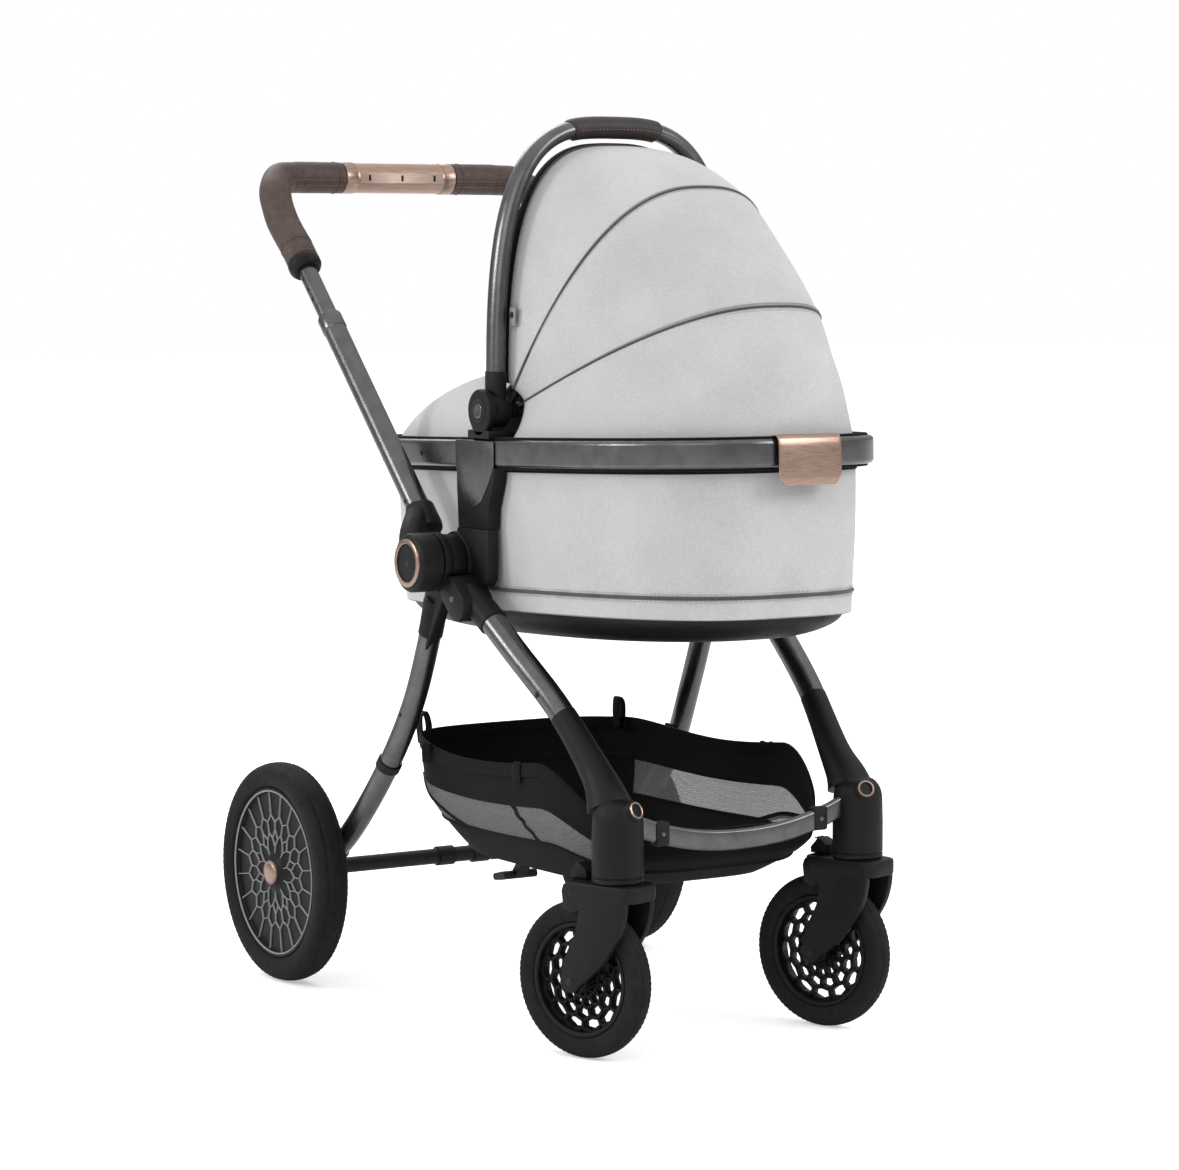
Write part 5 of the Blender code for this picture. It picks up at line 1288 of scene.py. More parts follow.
def make_tub():
    """The tub: a cloth cover over its shell, a lining, a piped seam, a band below it, and a black strip
    under the rail that is painted shadow of the gap there.
    """
    bm = bmesh.new()
    rings = []
    for inset, z, scale in tub_rows():
        rings.append(cot_ring(inset, z, 176, scale))
    for number, ring in enumerate(rings):
        share = number / (len(rings) - 1)
        for index, point in enumerate(ring):
            angle = 2 * math.pi * index / len(ring)
            pucker = 0.0007 * math.sin(23 * angle + 3 * math.sin(5 * angle))
            pucker *= math.exp(-(((share - 0.86) / 0.05) ** 2))
            pull = 0.0006 * math.sin(17 * angle + 1.3) * math.exp(-(share / 0.08) ** 2)
            away = Vector((point.x, point.y - COT.translation.y, 0)).normalized()
            ring[index] = point + away * (pucker + pull)
    floor = cot_ring(RAIL_THICKNESS + 0.010, -TUB_DEPTH - 0.0006, 176, 0.976)
    inner = [
        cot_ring(RAIL_THICKNESS + 0.0065, z, 176, 1 - TUB_TAPER * share)
        for z, share in ((0.006, 0.0), (-0.06, 0.35), (-0.13, 0.7), (-TUB_DEPTH + 0.004, 1.0))
    ]
    lip = cot_ring(RAIL_THICKNESS + 0.0035, 0.0088, 176)
    skin(bm, [lip, *rings, floor], 0, cap_end=True)
    skin(bm, [lip, *inner], 1, cap_end=True)
    bmesh.ops.remove_doubles(bm, verts=bm.verts, dist=0.00001)
    piece("tub_cover", bm, ["cloth", "lining"], "carrycot", ["cot_tub"], angle=60)
    trim = bmesh.new()
    level = -TUB_DEPTH * TUB_SEAM
    line = cot_ring(RAIL_THICKNESS + 0.0010, level, 176, 1 - TUB_TAPER * TUB_SEAM)
    sweep(trim, line, circle(0.0024, 8), 0, closed=True, up=(0, 0, 1))
    low = cot_ring(RAIL_THICKNESS + 0.0030, -TUB_DEPTH + 0.0006, 176, 0.976)
    sweep(trim, low, circle(0.0016, 8), 0, closed=True, up=(0, 0, 1))
    for offset in (0.0046, -0.0046):
        seam = cot_ring(RAIL_THICKNESS + 0.0007, level + offset, 400, 1 - TUB_TAPER * TUB_SEAM)
        stitches(trim, seam, [Vector()] * len(seam), 0.006, 1, 0.00045)
    piece("tub_piping", trim, ["piping", "grey_thread"], "carrycot")
    # A black strip just under the rail: painted shadow, standing in for the shade in the gap between the
    # rail and the cover.
    rail_gap_shadow = bmesh.new()
    sweep(
        rail_gap_shadow, cot_ring(RAIL_THICKNESS + 0.0012, -RAIL_HEIGHT / 2 - 0.0035, 176),
        rounded_box(0.0016, 0.0030, 0.0012, 3), 0, closed=True, up=(0, 0, 1),
    )
    piece("tub_painted_shadow", rail_gap_shadow, ["binding"], "carrycot")


def make_base():
    """The moulded base: a shallow bowl, deepest under the middle."""
    bm = bmesh.new()
    rings = []
    for step in range(15):
        share = step / 14
        angle = math.pi / 2 * share
        inset = 0.030 + 0.085 * (1 - math.cos(angle)) ** 0.9
        ring = []
        for point in cot_ring(inset, -TUB_DEPTH - 0.0012, 120, 0.975):
            place = (point.y - COT.translation.y) / COT_HALF_LENGTH
            deep = 0.036 * (1 - 0.30 * place * place) * math.sin(angle)
            ring.append(point - Vector((0, 0, deep)))
        rings.append(ring)
    skin(bm, rings, 0, cap_start=True, cap_end=True)
    piece("base_moulding", bm, ["plastic"], "carrycot", ["cot_base"], angle=60)


def make_mattress():
    """The mattress: a padded cushion blown up a little, with a sewn edge."""
    floor = -TUB_DEPTH + 0.0055
    bm = bmesh.new()
    height = bpy.context.scene.stroller_sizes.mattress_height
    rings = []
    for step in range(9):
        angle = -math.pi / 2 + math.pi * step / 8
        inset = RAIL_THICKNESS + 0.018 + 0.013 * (1 - math.cos(angle))
        rings.append(cot_ring(inset, floor + height / 2 + height / 2 * math.sin(angle), 72, 0.976))
    skin(bm, rings, 0, cap_start=True, cap_end=True)
    bmesh.ops.recalc_face_normals(bm, faces=bm.faces)
    mesh = bpy.data.meshes.new("mattress_pad")
    bm.to_mesh(mesh)
    bm.free()
    mesh.materials.append(finish("ticking"))
    pad = bpy.data.objects.new("mattress_pad", mesh)
    bpy.context.scene.collection.objects.link(pad)
    remesh = pad.modifiers.new("Even mesh", "REMESH")
    remesh.mode = "VOXEL"
    remesh.voxel_size = 0.006
    inflate(pad, 0.005)
    bake(pad)
    refine = pad.modifiers.new("Subdivision", "SUBSURF")
    refine.levels = 1
    refine.render_levels = 1
    pad.data.shade_smooth()
    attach(pad, "carrycot")
    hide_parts("mattress")
    seam = bmesh.new()
    line = cot_ring(RAIL_THICKNESS + 0.0175, floor + height / 2, 144, 0.976)
    sweep(seam, line, circle(0.0015, 8), 0, closed=True, up=(0, 0, 1))
    piece("mattress_seam", seam, ["lining"], "carrycot")


def bake(made):
    """Applies an object's modifiers to its mesh."""
    bpy.context.view_layer.update()
    graph = bpy.context.evaluated_depsgraph_get()
    mesh = bpy.data.meshes.new_from_object(made.evaluated_get(graph), depsgraph=graph)
    mesh.name = made.name
    made.modifiers.clear()
    made.data = mesh


def inflate(made, cap):
    """Blows a closed shape up with a short cloth simulation, moving no point further than the cap."""
    bake(made)
    rest = [vert.co.copy() for vert in made.data.vertices]
    cloth = made.modifiers.new("Cloth", "CLOTH")
    settings = cloth.settings
    settings.use_pressure = True
    settings.uniform_pressure_force = 4.0
    settings.effector_weights.gravity = 0.0
    settings.mass = 0.2
    cloth.point_cache.frame_start = 1
    cloth.point_cache.frame_end = 20
    scene = bpy.context.scene
    for number in range(1, 21):
        scene.frame_set(number)
    bake(made)
    for vert, start in zip(made.data.vertices, rest):
        moved = vert.co - start
        if moved.length > cap:
            vert.co = start + moved.normalized() * cap
    scene.frame_set(1)


def make_tab():
    """The bright plate over the rail at the head end, crowned, with round lower corners."""
    low, high = corners("rail_tab")
    bm = bmesh.new()
    half = high.x
    columns = 24
    rings = []
    face = -COT_HALF_LENGTH
    lip = [
        (0.012, 0.0195), (0.004, 0.0212), (-0.0010, 0.0215), (-0.0050, 0.0195), (-0.0072, 0.0150),
        (-0.0080, 0.0080), (-0.0082, -0.010), (-0.0078, -0.028), (-0.0066, -0.0385),
    ]
    for out, z in lip:
        row = []
        for column in range(columns + 1):
            share = -1 + 2 * column / columns
            limit = half
            if z < -0.026:
                drop = (-0.026 - z) / 0.0135
                limit = half - 0.013 * (1 - math.sqrt(max(0.0, 1 - min(1.0, drop) ** 2)))
            x = limit * share
            curve = 0.0022 * (x / half) ** 2
            row.append(COT @ Vector((x, face + out + curve, z)))
        rings.append(row)
    skin(bm, rings, 0, closed=False)
    tab = piece(
        "tab_rail", bm, ["bronze"], "carrycot", ["rail_tab"], angle=60, thickness=0.0016, offset=-1.0,
    )
    bevel = tab.modifiers.new("Soft rims", "BEVEL")
    bevel.width = 0.0005
    bevel.segments = 2
    bevel.limit_method = "ANGLE"
    bevel.angle_limit = math.radians(50)
    bevel.use_clamp_overlap = True


def apron_height(across, along):
    """The apron's rise over its edge: crowned across, and falling towards the foot."""
    fall = max(0.0, (along - 0.25) / 0.75)
    crest = 0.082 * (1 - fall**1.4) + 0.004
    rise = crest * (1 - abs(across) ** 5)
    folds = 0.0016 * math.sin(11 * across + 4 * along) * math.sin(math.pi * along) * (1 - across * across)
    dimple = -0.004 * math.exp(-((along - 0.55) / 0.25) ** 2) * math.exp(-((across - 0.1) / 0.5) ** 2)
    return rise + folds + dimple


def make_apron():
    """The foot cover: one crowned sheet with a bound free edge."""
    inset = RAIL_THICKNESS + 0.0035
    half_width, half_length = COT_HALF_WIDTH - inset, COT_HALF_LENGTH - inset
    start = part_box("foot_apron")[0][1] - COT.translation.y + 0.001
    bm = bmesh.new()
    rows = []
    count_y, count_x = 56, 64
    for step in range(count_y + 1):
        along = step / count_y
        y = start + (half_length * 0.9985 - start) * (1 - (1 - along) ** 1.25)
        width = half_width * max(0.0, 1 - abs(y / half_length) ** 3) ** (1 / 3)
        row = []
        for number in range(count_x + 1):
            across = math.sin((-1 + 2 * number / count_x) * math.pi / 2)
            z = 0.0150 + apron_height(across, along)
            row.append(COT @ Vector((width * across, y, z)))
        rows.append(row)
    skin(bm, rows, 0, closed=False)
    area = sum(face.calc_area() for face in bm.faces)
    sheet = piece(
        "apron_cover", bm, ["cloth"], "carrycot", ["foot_apron"], angle=70,
        thickness=bpy.context.scene.stroller_sizes.apron_cloth, offset=-1.0,
    )
    trim = bmesh.new()
    sweep(trim, rows[0], circle(0.0026, 8), 0)
    border = [row[0] for row in rows] + list(reversed([row[-1] for row in rows]))
    sweep(trim, border, circle(0.0019, 8), 0, up=(0, 0, 1))
    binding = piece("apron_binding", trim, ["piping"], "carrycot")


def make_adapters():
    """The brackets below the rail and the blocks above it, on both sides."""
    rail_top = COT.translation.z + RAIL_HEIGHT / 2
    for name, side in SIDES:
        bm = bmesh.new()
        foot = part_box("hub_housing_" + name)[1][2] + 0.0004
        shield = [
            (-0.1068, rail_top - 0.0015), (-0.0165, rail_top - 0.0015), (-0.0165, 0.697), (-0.024, 0.676),
            (-0.040, 0.654), (-0.060, 0.646), (-0.078, 0.655), (-0.095, 0.678), (-0.1068, 0.700),
        ]
        prism(bm, shield, side * (COT_HALF_WIDTH + 0.0006), side * 0.1974, 0.0006)
        under = rail_top - RAIL_HEIGHT - 0.0016
        outline = [
            (-0.0905, foot), (-0.0200, foot), (-0.0188, 0.640), (-0.0165, 0.672), (-0.0163, under),
            (-0.1070, under + 0.0014), (-0.1055, 0.680), (-0.0990, 0.663), (-0.0925, 0.645),
        ]
        prism(bm, outline, side * 0.1768, side * 0.1961, 0.0018, 1)
        middle = side * 0.18875
        block(
            bm, (middle - 0.0026, -0.0715, foot - 0.027), (middle + 0.0026, -0.0405, foot + 0.004),
            0.0008, 1,
        )
        piece("bracket_cot_" + name, bm, ["gunmetal", "plastic"], "carrycot", ["cot_adapter_" + name])
        bm = bmesh.new()
        foot_z = rail_top + 0.0011
        plate = link_outline((HOOD.y, HOOD.z), 0.0268, (HOOD.y, foot_z + 0.0195), 0.0183, 24)
        prism(bm, plate, side * 0.1853, side * 0.1972, 0.0030, 0, segments=3)
        left, right = sorted((side * 0.1602, side * 0.1972))
        low = (left, HOOD.y - 0.0238, foot_z)
        high = (right, HOOD.y + 0.0268, foot_z + 0.0106)
        block(bm, low, high, 0.0018)
        pin = Matrix.Translation((side * 0.1368, HOOD.y, HOOD.z)) @ outward(side)
        turn(bm, [(0.0, 0.050), (0.0039, 0.0498), (0.0039, 0.0), (0.0, -0.0002)], pin, 20, 1)
        ring = Matrix.Translation((side * 0.1972, HOOD.y, HOOD.z)) @ outward(side)
        turn(bm, [(0.0112, 0.0006), (0.0132, 0.0012), (0.0150, 0.0010), (0.0156, -0.0004)], ring, 48, 1)
        piece("block_arch_" + name, bm, ["plastic", "grey_plastic"], "carrycot", ["arch_joint_" + name])
        bm = bmesh.new()
        low_x = abs(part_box("arch_button_" + name)[0 if side > 0 else 1][0])
        at = Matrix.Translation((side * low_x, HOOD.y, HOOD.z)) @ outward(side)
        turn(
            bm,
            [
                (0.0, 0.0036), (0.0060, 0.0037), (0.0088, 0.0041), (0.0097, 0.0036),
                (0.0098, 0.0002), (0.0, 0.0),
            ],
            at, 48, 0,
        )
        piece("button_arch_" + name, bm, ["gunmetal"], "arch_button_" + name, ["arch_button_" + name])


# Hood


def hood_point(angle, x, distance):
    return Vector((x, HOOD.y - distance * math.sin(angle), HOOD.z + distance * math.cos(angle)))


def turn_hood(point, angle):
    """The point turned about the hood's pivot line."""
    pivot = Matrix.Translation((0, HOOD.y, HOOD.z))
    return pivot @ Matrix.Rotation(angle, 4, "X") @ pivot.inverted() @ point


def hoop(half_width, reach, power, angle, foot, count):
    """Points of an arch over the hood's pivot, evenly spaced."""
    start = math.asin(min(1.0, (foot / reach) ** (power / 2)))
    fine = []
    for step in range(count * 6):
        turned = start + (math.pi - 2 * start) * step / (count * 6 - 1)
        across, up = math.cos(turned), math.sin(turned)
        x = math.copysign(abs(across) ** (2 / power), across) * half_width
        fine.append(hood_point(angle, x, up ** (2 / power) * reach))
    return resample(fine, count)


def hem_line(count):
    """The hood's lower hem inside the rail, from one side round the head end to the other."""
    inset = RAIL_THICKNESS + 0.004
    half_width, half_length = COT_HALF_WIDTH - inset, COT_HALF_LENGTH - inset
    start = math.asin((0.026 / half_length) ** 1.5)
    fine = []
    for step in range(count * 6):
        turned = start + (math.pi - 2 * start) * step / (count * 6 - 1)
        across, along = math.cos(turned), math.sin(turned)
        x = math.copysign(abs(across) ** (2 / 3), across) * half_width
        fine.append(COT @ Vector((x, -half_length * along ** (2 / 3), 0.0135)))
    return resample(fine, count)


HOOPS = {
    "arch": (0.156, 0.327, 2.9, 0.0), "rear": (0.158, 0.341, 2.6, 37.0),
    "front": (0.149, 0.383, 2.6, 70.0),
}
FOOT = 0.034


def hoop_line(name, count):
    half_width, reach, power, angle = HOOPS[name]
    return hoop(half_width, reach, power, math.radians(angle), FOOT, count)


def panel_rows(first, last, rows, swell, crumple, seed):
    """Rows of a cloth panel between two lines, swelling a little, with soft folds near its last line."""
    grid = []
    count = len(first)
    for step in range(rows + 1):
        share = step / rows
        row = []
        for index, (start, end) in enumerate(zip(first, last)):
            mixed = start.lerp(end, share)
            a, b = (start - HOOD).yz, (end - HOOD).yz
            radius = a.length * (1 - share) + b.length * share
            direction = (mixed - HOOD).yz.normalized()
            round_about = index / (count - 1)
            out = 1 + swell * math.sin(math.pi * share)
            wide = math.sin(math.pi * round_about)
            wave = math.sin(17 * round_about + 5 * share + seed)
            wave += 0.7 * math.sin(29 * round_about - 7 * share + 2 * seed)
            fold = crumple * wave * math.sin(math.pi * share) ** 1.5 * wide**0.5
            radius = radius * out + fold
            x = mixed.x * (1 + 0.35 * swell * math.sin(math.pi * share))
            row.append(Vector((x, HOOD.y + direction.x * radius, HOOD.z + direction.y * radius)))
        grid.append(row)
    return grid


def make_canopy():
    """The hood's cloth: three panels with shared edges, piping on the ribs, and a bound edge on the arch."""
    sizes = bpy.context.scene.stroller_sizes
    count = 120
    arch, rear, front = (hoop_line(name, count) for name in HOOPS)
    hem = hem_line(count)
    panels = (
        ("hood_cloth_rear", arch, rear, "hood_rear", "arch", "rear", "arch", -0.010, 0.0006, 26),
        ("hood_cloth_middle", rear, front, "hood_front", "hood_rear", "front", "rear", -0.026, 0.0011, 26),
        ("hood_cloth_front", front, hem, "carrycot", "hood_front", None, "front", -0.004, 0.0024, 32),
    )
    stands = {
        "hood_cloth_rear": "canopy_rear", "hood_cloth_middle": "canopy_middle",
        "hood_cloth_front": "canopy_front",
    }
    for name, first, last, body_a, body_b, hoop_a, hoop_b, swell, crumple, rows in panels:
        bm = bmesh.new()
        skin(bm, panel_rows(first, last, rows, swell, crumple, len(name)), 0, closed=False)
        area = sum(face.calc_area() for face in bm.faces)
        made = piece(name, bm, ["cloth"], None, [stands[name]], angle=75, thickness=sizes.hood_cloth)
        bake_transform(made)
    trims = {"arch": [], "hood_rear": [], "hood_front": [], "carrycot": []}
    for name, line, body, radius in (
        ("piping_rib_rear", rear, "hood_rear", sizes.piping),
        ("piping_rib_front", front, "hood_front", sizes.piping),
        ("piping_arch", arch, "arch", 0.0024),
        ("piping_hem", hem, "carrycot", 0.0020),
    ):
        bm = bmesh.new()
        lifted = [point + (point - Vector((0, HOOD.y, HOOD.z))).normalized() * 0.0010 for point in line]
        sweep(bm, lifted, circle(radius, 10), 0)
        if body in ("hood_rear", "hood_front"):
            for offset in (0.0042, -0.0042):
                tilted = [turn_hood(point, offset / 0.35) for point in lifted[3:-3]]
                sweep(bm, tilted, circle(0.0006, 6), 1)
        trims[body].append(piece(name, bm, ["piping", "grey_thread"], body))
    bm = bmesh.new()
    edge = hoop(0.158, 0.330, 2.9, math.radians(-1.0), FOOT, 120)
    sweep(bm, edge, rounded_box(0.0016, 0.0065, 0.0014, 3), 0, up=(0, 1, 0))
    inner = hoop(0.150, 0.318, 2.9, math.radians(1.2), FOOT, 120)
    sweep(bm, inner, rounded_box(0.0010, 0.0050, 0.0008, 3), 0, up=(0, 1, 0))
    trims["arch"].append(piece("hood_edge_band", bm, ["binding"], "arch"))
    bm = bmesh.new()
    for side in (-1, 1):
        at = Vector((side * 0.1600, HOOD.y - 0.0215, HOOD.z + 0.116))
        block(bm, at - Vector((0.0016, 0.0065, 0.0115)), at + Vector((0.0016, 0.0065, 0.0115)), 0.0012, 0)
        snap = Matrix.Translation(at + Vector((side * 0.0014, 0, 0.002))) @ outward(side)
        turn(bm, [(0.0, 0.0016), (0.0032, 0.0014), (0.0042, 0.0)], snap, 24, 1)
    trims["arch"].append(piece("hood_clip", bm, ["web", "grey_plastic"], "arch"))
    for node in ("hood_rib_front", "hood_rib_rear"):
        paint(node, "plastic")


def make_arch():
    """The arch bar with its foot sleeves, and the leather carry grip on its top."""
    bm = bmesh.new()
    line = hoop(*ARCH_HOOP, 140)
    section = circle(0.011, 32, 0.015 / 0.011)
    sweep(bm, line, section, 0, up=(0, 1, 0))
    for side in (-1, 1):
        at = Matrix.Translation((side * 0.1612, HOOD.y, HOOD.z)) @ outward(side)
        eye = [
            (0.0044, 0.0), (0.0200, 0.0), (0.0210, 0.001), (0.0210, 0.0206), (0.0200, 0.0216),
            (0.0044, 0.0216),
        ]
        turn(bm, eye, at, 48, 1, closed=True)
        foot = [point for point in line if point.x * side > 0 and 0.008 < point.z - HOOD.z < 0.050]
        sweep(
            bm, sorted(foot, key=lambda p: p.z), [(a * 1.09, b * 1.12) for a, b in section], 1,
            up=(0, 1, 0),
        )
    piece("bar_arch", bm, ["gunmetal", "plastic"], "arch", ["hood_arch"], angle=50)
    bm = bmesh.new()
    path = [point for point in hoop(*ARCH_HOOP, 420) if abs(point.x) < 0.0655]
    count = len(path)
    scales = []
    for step in range(count):
        share = abs(-1 + 2 * step / (count - 1))
        scales.append(1.0 - 0.10 * max(0.0, (share - 0.94) / 0.06) ** 2)
    grip = [(a * 0.0136 / 0.011, b * 0.0176 / 0.015) for a, b in section]
    sweep(bm, path, grip, 0, up=(0, 1, 0), scales=scales)
    under = [point - Vector((0, 0, 0.0135)) for point in path[2:-2]]
    sweep(bm, under, circle(0.0008, 8), 0)
    for sign in (-1, 1):
        offsets = [Vector((0, sign * 0.0172, -0.0030))] * count
        stitches(bm, path[3:-3], offsets[3:-3], 0.005, 1)
    piece("grip_carry", bm, ["dark_leather", "thread"], "arch", ["carry_grip"])


# Stage


def make_stage():
    """A pale floor, soft lights and the camera."""
    bm = bmesh.new()
    bmesh.ops.create_grid(
        bm, x_segments=1, y_segments=1, size=30.0, matrix=Matrix.Translation((0, 0, -0.0002)),
    )
    floor = piece("studio_floor", bm, ["floor"])
    world = bpy.data.worlds.new("studio")
    world.use_nodes = True
    tree = world.node_tree
    background = tree.nodes["Background"]
    background.inputs["Strength"].default_value = 1.0
    height = add(
        tree, "ShaderNodeSeparateXYZ",
        {"Vector": add(tree, "ShaderNodeTexCoord").outputs["Generated"]},
    )
    dome = add(
        tree, "ShaderNodeMapRange", {"Value": height.outputs["Z"]},
        {"From Min": -0.05, "From Max": 0.85, "To Min": 0.20, "To Max": 1.25},
    )
    seen = add(tree, "ShaderNodeLightPath").outputs["Is Camera Ray"]
    level = add(tree, "ShaderNodeMath", {0: dome.outputs["Result"], 1: seen}, operation="MAXIMUM")
    tree.links.new(level.outputs[0], background.inputs["Color"])
    bpy.context.scene.world = world
    for name, place, size, power in (
        ("key", (1.7, -3.2, 2.6), 2.0, 70.0),
        ("fill", (-3.0, -1.6, 2.0), 2.4, 24.0),
        ("rim", (0.4, 2.8, 3.0), 2.0, 40.0),
        ("edge", (-2.4, 0.9, 1.5), 0.7, 22.0),
    ):
        data = bpy.data.lights.new(name, "AREA")
        data.shape = "DISK"
        data.size = size
        data.energy = power
        lamp = bpy.data.objects.new(name, data)
        lamp.location = place
        toward = Vector((0, 0, 0.6)) - Vector(place)
        lamp.rotation_euler = toward.to_track_quat("-Z", "Y").to_euler()
        bpy.context.scene.collection.objects.link(lamp)
    camera = bpy.data.cameras.new("camera")
    camera.lens = bpy.context.scene.stroller_sizes.lens
    camera.sensor_width = 36.0
    seen = bpy.data.objects.new("camera", camera)
    seen.location = (-2.577, -4.0494, 0.9548)
    around, up = math.radians(-32.59), math.radians(4.979)
    back = Vector((math.sin(around) * math.cos(up), -math.cos(around) * math.cos(up), math.sin(up)))
    seen.rotation_euler = (-back).to_track_quat("-Z", "Y").to_euler()
    bpy.context.scene.collection.objects.link(seen)
    bpy.context.scene.camera = seen
    bpy.context.scene.view_settings.view_transform = "Standard"


# Add-on


def size_property(name, description, default):
    """A size that a user can change."""
    return bpy.props.FloatProperty(
        name=name, description=description, default=default, min=0.0001, unit="LENGTH", precision=4
    )


def colour_property(name, description, code):
    """A colour that a user can change, from its sRGB hex code."""
    return bpy.props.FloatVectorProperty(
        name=name, description=description, default=linear(code), size=4, min=0, max=1, subtype="COLOR"
    )


class StrollerSizes(bpy.types.PropertyGroup):
    """Sizes that the frame doesn't settle."""

    hood_cloth: size_property("Hood cloth", "Thickness of the hood's cloth", 0.0014)
    apron_cloth: size_property("Foot cover cloth", "Thickness of the foot cover", 0.0022)
    basket_cloth: size_property("Basket cloth", "Thickness of the basket's cloth", 0.0012)
    mattress_height: size_property("Mattress height", "Height of the mattress before it is filled", 0.026)
    piping: size_property("Rib piping", "Radius of the piping over the hood's ribs", 0.0017)
    tread_depth: size_property("Tread depth", "Depth of the grooves round the tyres", 0.0016)
    web_rib: size_property("Web rib", "Width of the ribs on the rear wheels", 0.0012)
    lens: bpy.props.FloatProperty(
        name="Lens", description="Focal length of the camera", default=114.58, min=1.0, unit="CAMERA"
    )


class StrollerColours(bpy.types.PropertyGroup):
    """The main colours, each material's darker and lighter shade."""

    cloth_dark: colour_property("Cloth, dark", "Darker yarn of the hood and the tub", "#a6a6a6")
    cloth_light: colour_property("Cloth, light", "Lighter yarn of the hood and the tub", "#b7b7b7")
    metal_dark: colour_property("Tubes, dark", "Darker shade of the anodised tubes", "#58585a")
    metal_light: colour_property("Tubes, light", "Lighter shade of the anodised tubes", "#646465")
    bronze_dark: colour_property("Bronze, dark", "Darker brushed line of the bright parts", "#8d756a")
    bronze_light: colour_property("Bronze, light", "Lighter brushed line of the bright parts", "#a78e81")
    leather_dark: colour_property("Leather, dark", "Darker shade of the handle grips", "#34241f")
    leather_light: colour_property("Leather, light", "Lighter shade of the handle grips", "#47322c")
    rubber_dark: colour_property("Rubber, dark", "Darker shade of the tyres", "#121213")
    rubber_light: colour_property("Rubber, light", "Lighter shade of the tyres", "#1b1b1c")
    plastic: colour_property("Plastic", "Colour of the moulded castings and forks", "#0d0d0e")


class STROLLER_OT_stage(bpy.types.Operator):
    """Makes the floor, the lights and the camera."""

    bl_idname = "stroller.stage"
    bl_label = "Stage"

    def execute(self, context):
        make_stage()
        return {"FINISHED"}


class STROLLER_OT_legs(bpy.types.Operator):
    """Makes the front and the rear legs."""

    bl_idname = "stroller.legs"
    bl_label = "Legs"

    def execute(self, context):
        for name, side in SIDES:
            make_front_leg(name, side)
            make_rear_leg(name, side)
        return {"FINISHED"}


class STROLLER_OT_castings(bpy.types.Operator):
    """Makes the castings at the feet of the front legs."""

    bl_idname = "stroller.castings"
    bl_label = "Castor castings"

    def execute(self, context):
        for name, side in SIDES:
            make_castor_head(name, side)
        return {"FINISHED"}


class STROLLER_OT_housings(bpy.types.Operator):
    """Makes the fixed halves of the fold joints."""

    bl_idname = "stroller.housings"
    bl_label = "Fold housings"

    def execute(self, context):
        for name, side in SIDES:
            make_hub_housing(name, side)
        return {"FINISHED"}


class STROLLER_OT_cross_bars(bpy.types.Operator):
    """Makes the front bow, the rear axle and the brake."""

    bl_idname = "stroller.cross_bars"
    bl_label = "Cross bars"

    def execute(self, context):
        make_front_bow()
        make_axle_and_brake()
        return {"FINISHED"}


class STROLLER_OT_basket(bpy.types.Operator):
    """Makes the cloth basket."""

    bl_idname = "stroller.basket"
    bl_label = "Basket"

    def execute(self, context):
        make_basket()
        return {"FINISHED"}


class STROLLER_OT_rear_wheels(bpy.types.Operator):
    """Makes the rear wheels."""

    bl_idname = "stroller.rear_wheels"
    bl_label = "Rear wheels"

    def execute(self, context):
        for name, side in SIDES:
            make_rear_wheel(name, side)
        return {"FINISHED"}


class STROLLER_OT_front_wheels(bpy.types.Operator):
    """Makes the front wheels."""

    bl_idname = "stroller.front_wheels"
    bl_label = "Front wheels"

    def execute(self, context):
        for name, side in SIDES:
            make_front_wheel(name, side)
        return {"FINISHED"}


class STROLLER_OT_forks(bpy.types.Operator):
    """Makes the forks and their lock levers."""

    bl_idname = "stroller.forks"
    bl_label = "Castor forks"

    def execute(self, context):
        for name, side in SIDES:
            make_fork(name, side)
        return {"FINISHED"}


class STROLLER_OT_push_tubes(bpy.types.Operator):
    """Makes the outer and the sliding tubes."""

    bl_idname = "stroller.push_tubes"
    bl_label = "Push tubes"

    def execute(self, context):
        for name, side in SIDES:
            make_upper_tube(name, side)
            make_inner_tube(name, side)
        return {"FINISHED"}


class STROLLER_OT_fold_discs(bpy.types.Operator):
    """Makes the turning halves of the fold joints."""

    bl_idname = "stroller.fold_discs"
    bl_label = "Fold discs"

    def execute(self, context):
        for name, side in SIDES:
            make_push_hub(name, side)
        return {"FINISHED"}


class STROLLER_OT_grips(bpy.types.Operator):
    """Makes the leather grips."""

    bl_idname = "stroller.grips"
    bl_label = "Handle grips"

    def execute(self, context):
        for name, side in SIDES:
            make_grip(name, side)
        return {"FINISHED"}


class STROLLER_OT_sleeve(bpy.types.Operator):
    """Makes the handle's bright middle sleeve."""

    bl_idname = "stroller.sleeve"
    bl_label = "Handle sleeve"

    def execute(self, context):
        make_center_sleeve()
        return {"FINISHED"}


class STROLLER_OT_rail(bpy.types.Operator):
    """Makes the rail and the bright tab on it."""

    bl_idname = "stroller.rail"
    bl_label = "Carrycot rail"

    def execute(self, context):
        make_rail()
        make_tab()
        return {"FINISHED"}


class STROLLER_OT_tub(bpy.types.Operator):
    """Makes the cloth tub and its moulded base."""

    bl_idname = "stroller.tub"
    bl_label = "Tub"

    def execute(self, context):
        make_tub()
        make_base()
        return {"FINISHED"}


class STROLLER_OT_mattress(bpy.types.Operator):
    """Makes the mattress."""

    bl_idname = "stroller.mattress"
    bl_label = "Mattress"

    def execute(self, context):
        make_mattress()
        return {"FINISHED"}


class STROLLER_OT_brackets(bpy.types.Operator):
    """Makes the brackets, the arch blocks and their buttons."""

    bl_idname = "stroller.brackets"
    bl_label = "Carrycot brackets"

    def execute(self, context):
        make_adapters()
        return {"FINISHED"}


class STROLLER_OT_apron(bpy.types.Operator):
    """Makes the foot cover."""

    bl_idname = "stroller.apron"
    bl_label = "Foot cover"

    def execute(self, context):
        make_apron()
        return {"FINISHED"}


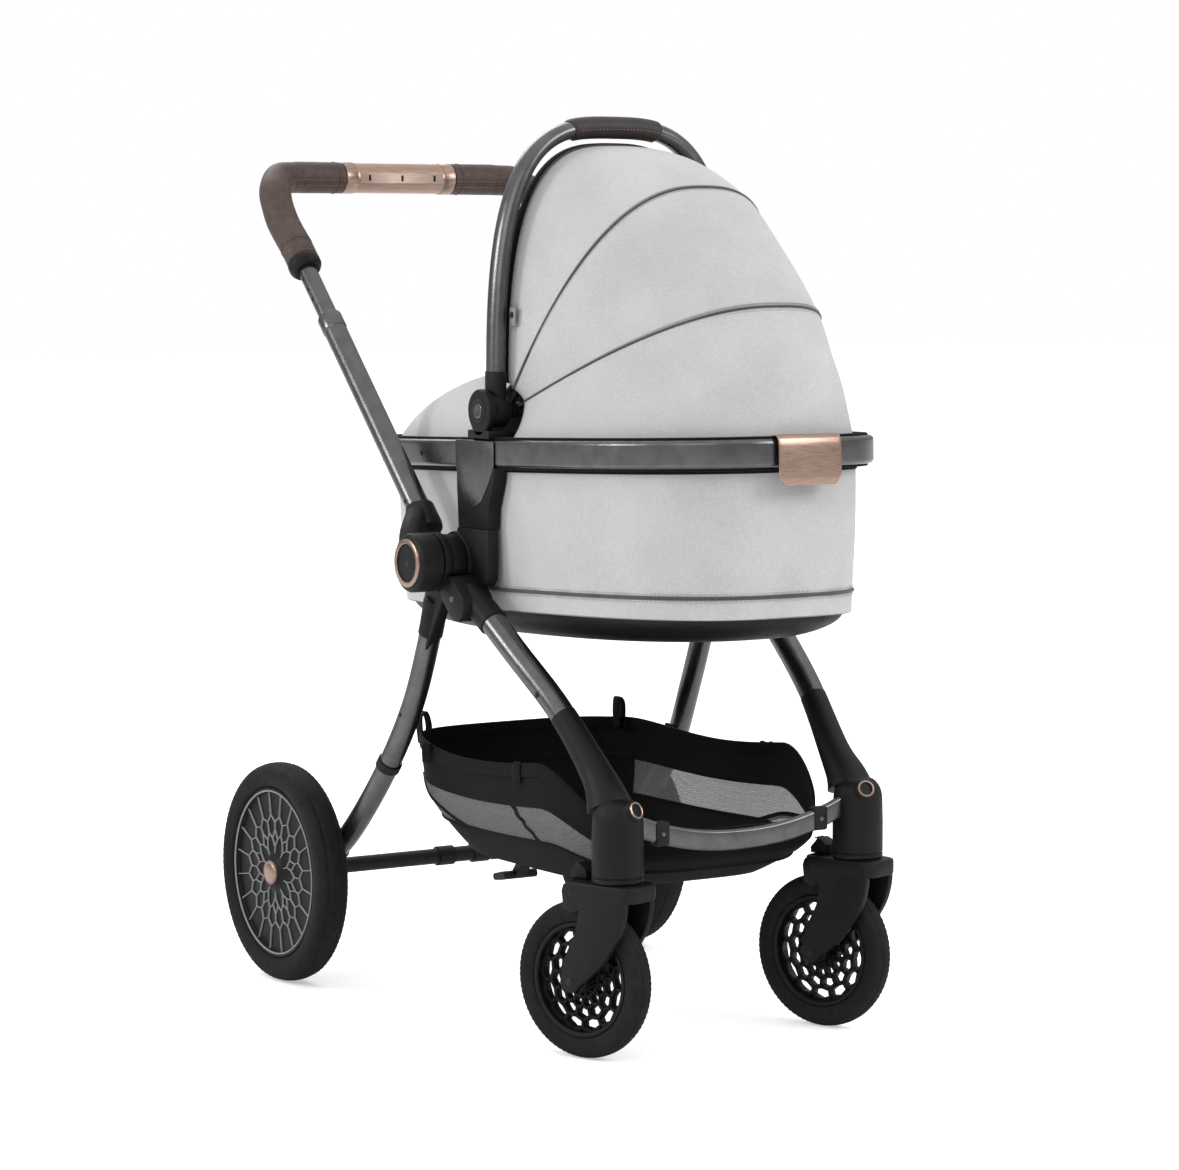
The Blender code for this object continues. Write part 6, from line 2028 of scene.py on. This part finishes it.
class STROLLER_OT_arch(bpy.types.Operator):
    """Makes the hood's arch and its carry grip."""

    bl_idname = "stroller.arch"
    bl_label = "Arch"

    def execute(self, context):
        make_arch()
        return {"FINISHED"}


class STROLLER_OT_canopy(bpy.types.Operator):
    """Makes the hood's cloth and its piping."""

    bl_idname = "stroller.canopy"
    bl_label = "Canopy"

    def execute(self, context):
        make_canopy()
        return {"FINISHED"}


OPERATORS = (
    STROLLER_OT_stage,
    STROLLER_OT_legs,
    STROLLER_OT_castings,
    STROLLER_OT_housings,
    STROLLER_OT_cross_bars,
    STROLLER_OT_basket,
    STROLLER_OT_rear_wheels,
    STROLLER_OT_front_wheels,
    STROLLER_OT_forks,
    STROLLER_OT_push_tubes,
    STROLLER_OT_fold_discs,
    STROLLER_OT_grips,
    STROLLER_OT_sleeve,
    STROLLER_OT_rail,
    STROLLER_OT_tub,
    STROLLER_OT_mattress,
    STROLLER_OT_brackets,
    STROLLER_OT_apron,
    STROLLER_OT_arch,
    STROLLER_OT_canopy,
)


class STROLLER_PT_panel(bpy.types.Panel):
    """The buttons that build the stroller, and its sizes and colours."""

    bl_label = "Stroller"
    bl_idname = "STROLLER_PT_panel"
    bl_space_type = "VIEW_3D"
    bl_region_type = "UI"
    bl_category = "Stroller"

    def draw(self, context):
        for operator in OPERATORS:
            self.layout.operator(operator.bl_idname)
        for group in (context.scene.stroller_sizes, context.scene.stroller_colours):
            for name in type(group).__annotations__:
                self.layout.prop(group, name)


CLASSES = (StrollerSizes, StrollerColours, *OPERATORS, STROLLER_PT_panel)


def register():
    for made in CLASSES:
        bpy.utils.register_class(made)
    bpy.types.Scene.stroller_sizes = bpy.props.PointerProperty(type=StrollerSizes)
    bpy.types.Scene.stroller_colours = bpy.props.PointerProperty(type=StrollerColours)


def unregister():
    del bpy.types.Scene.stroller_colours
    del bpy.types.Scene.stroller_sizes
    for made in reversed(CLASSES):
        bpy.utils.unregister_class(made)


def main():
    register()
    for operator in OPERATORS:
        getattr(bpy.ops.stroller, operator.bl_idname.partition(".")[2])()


if __name__ == "__main__":
    main()
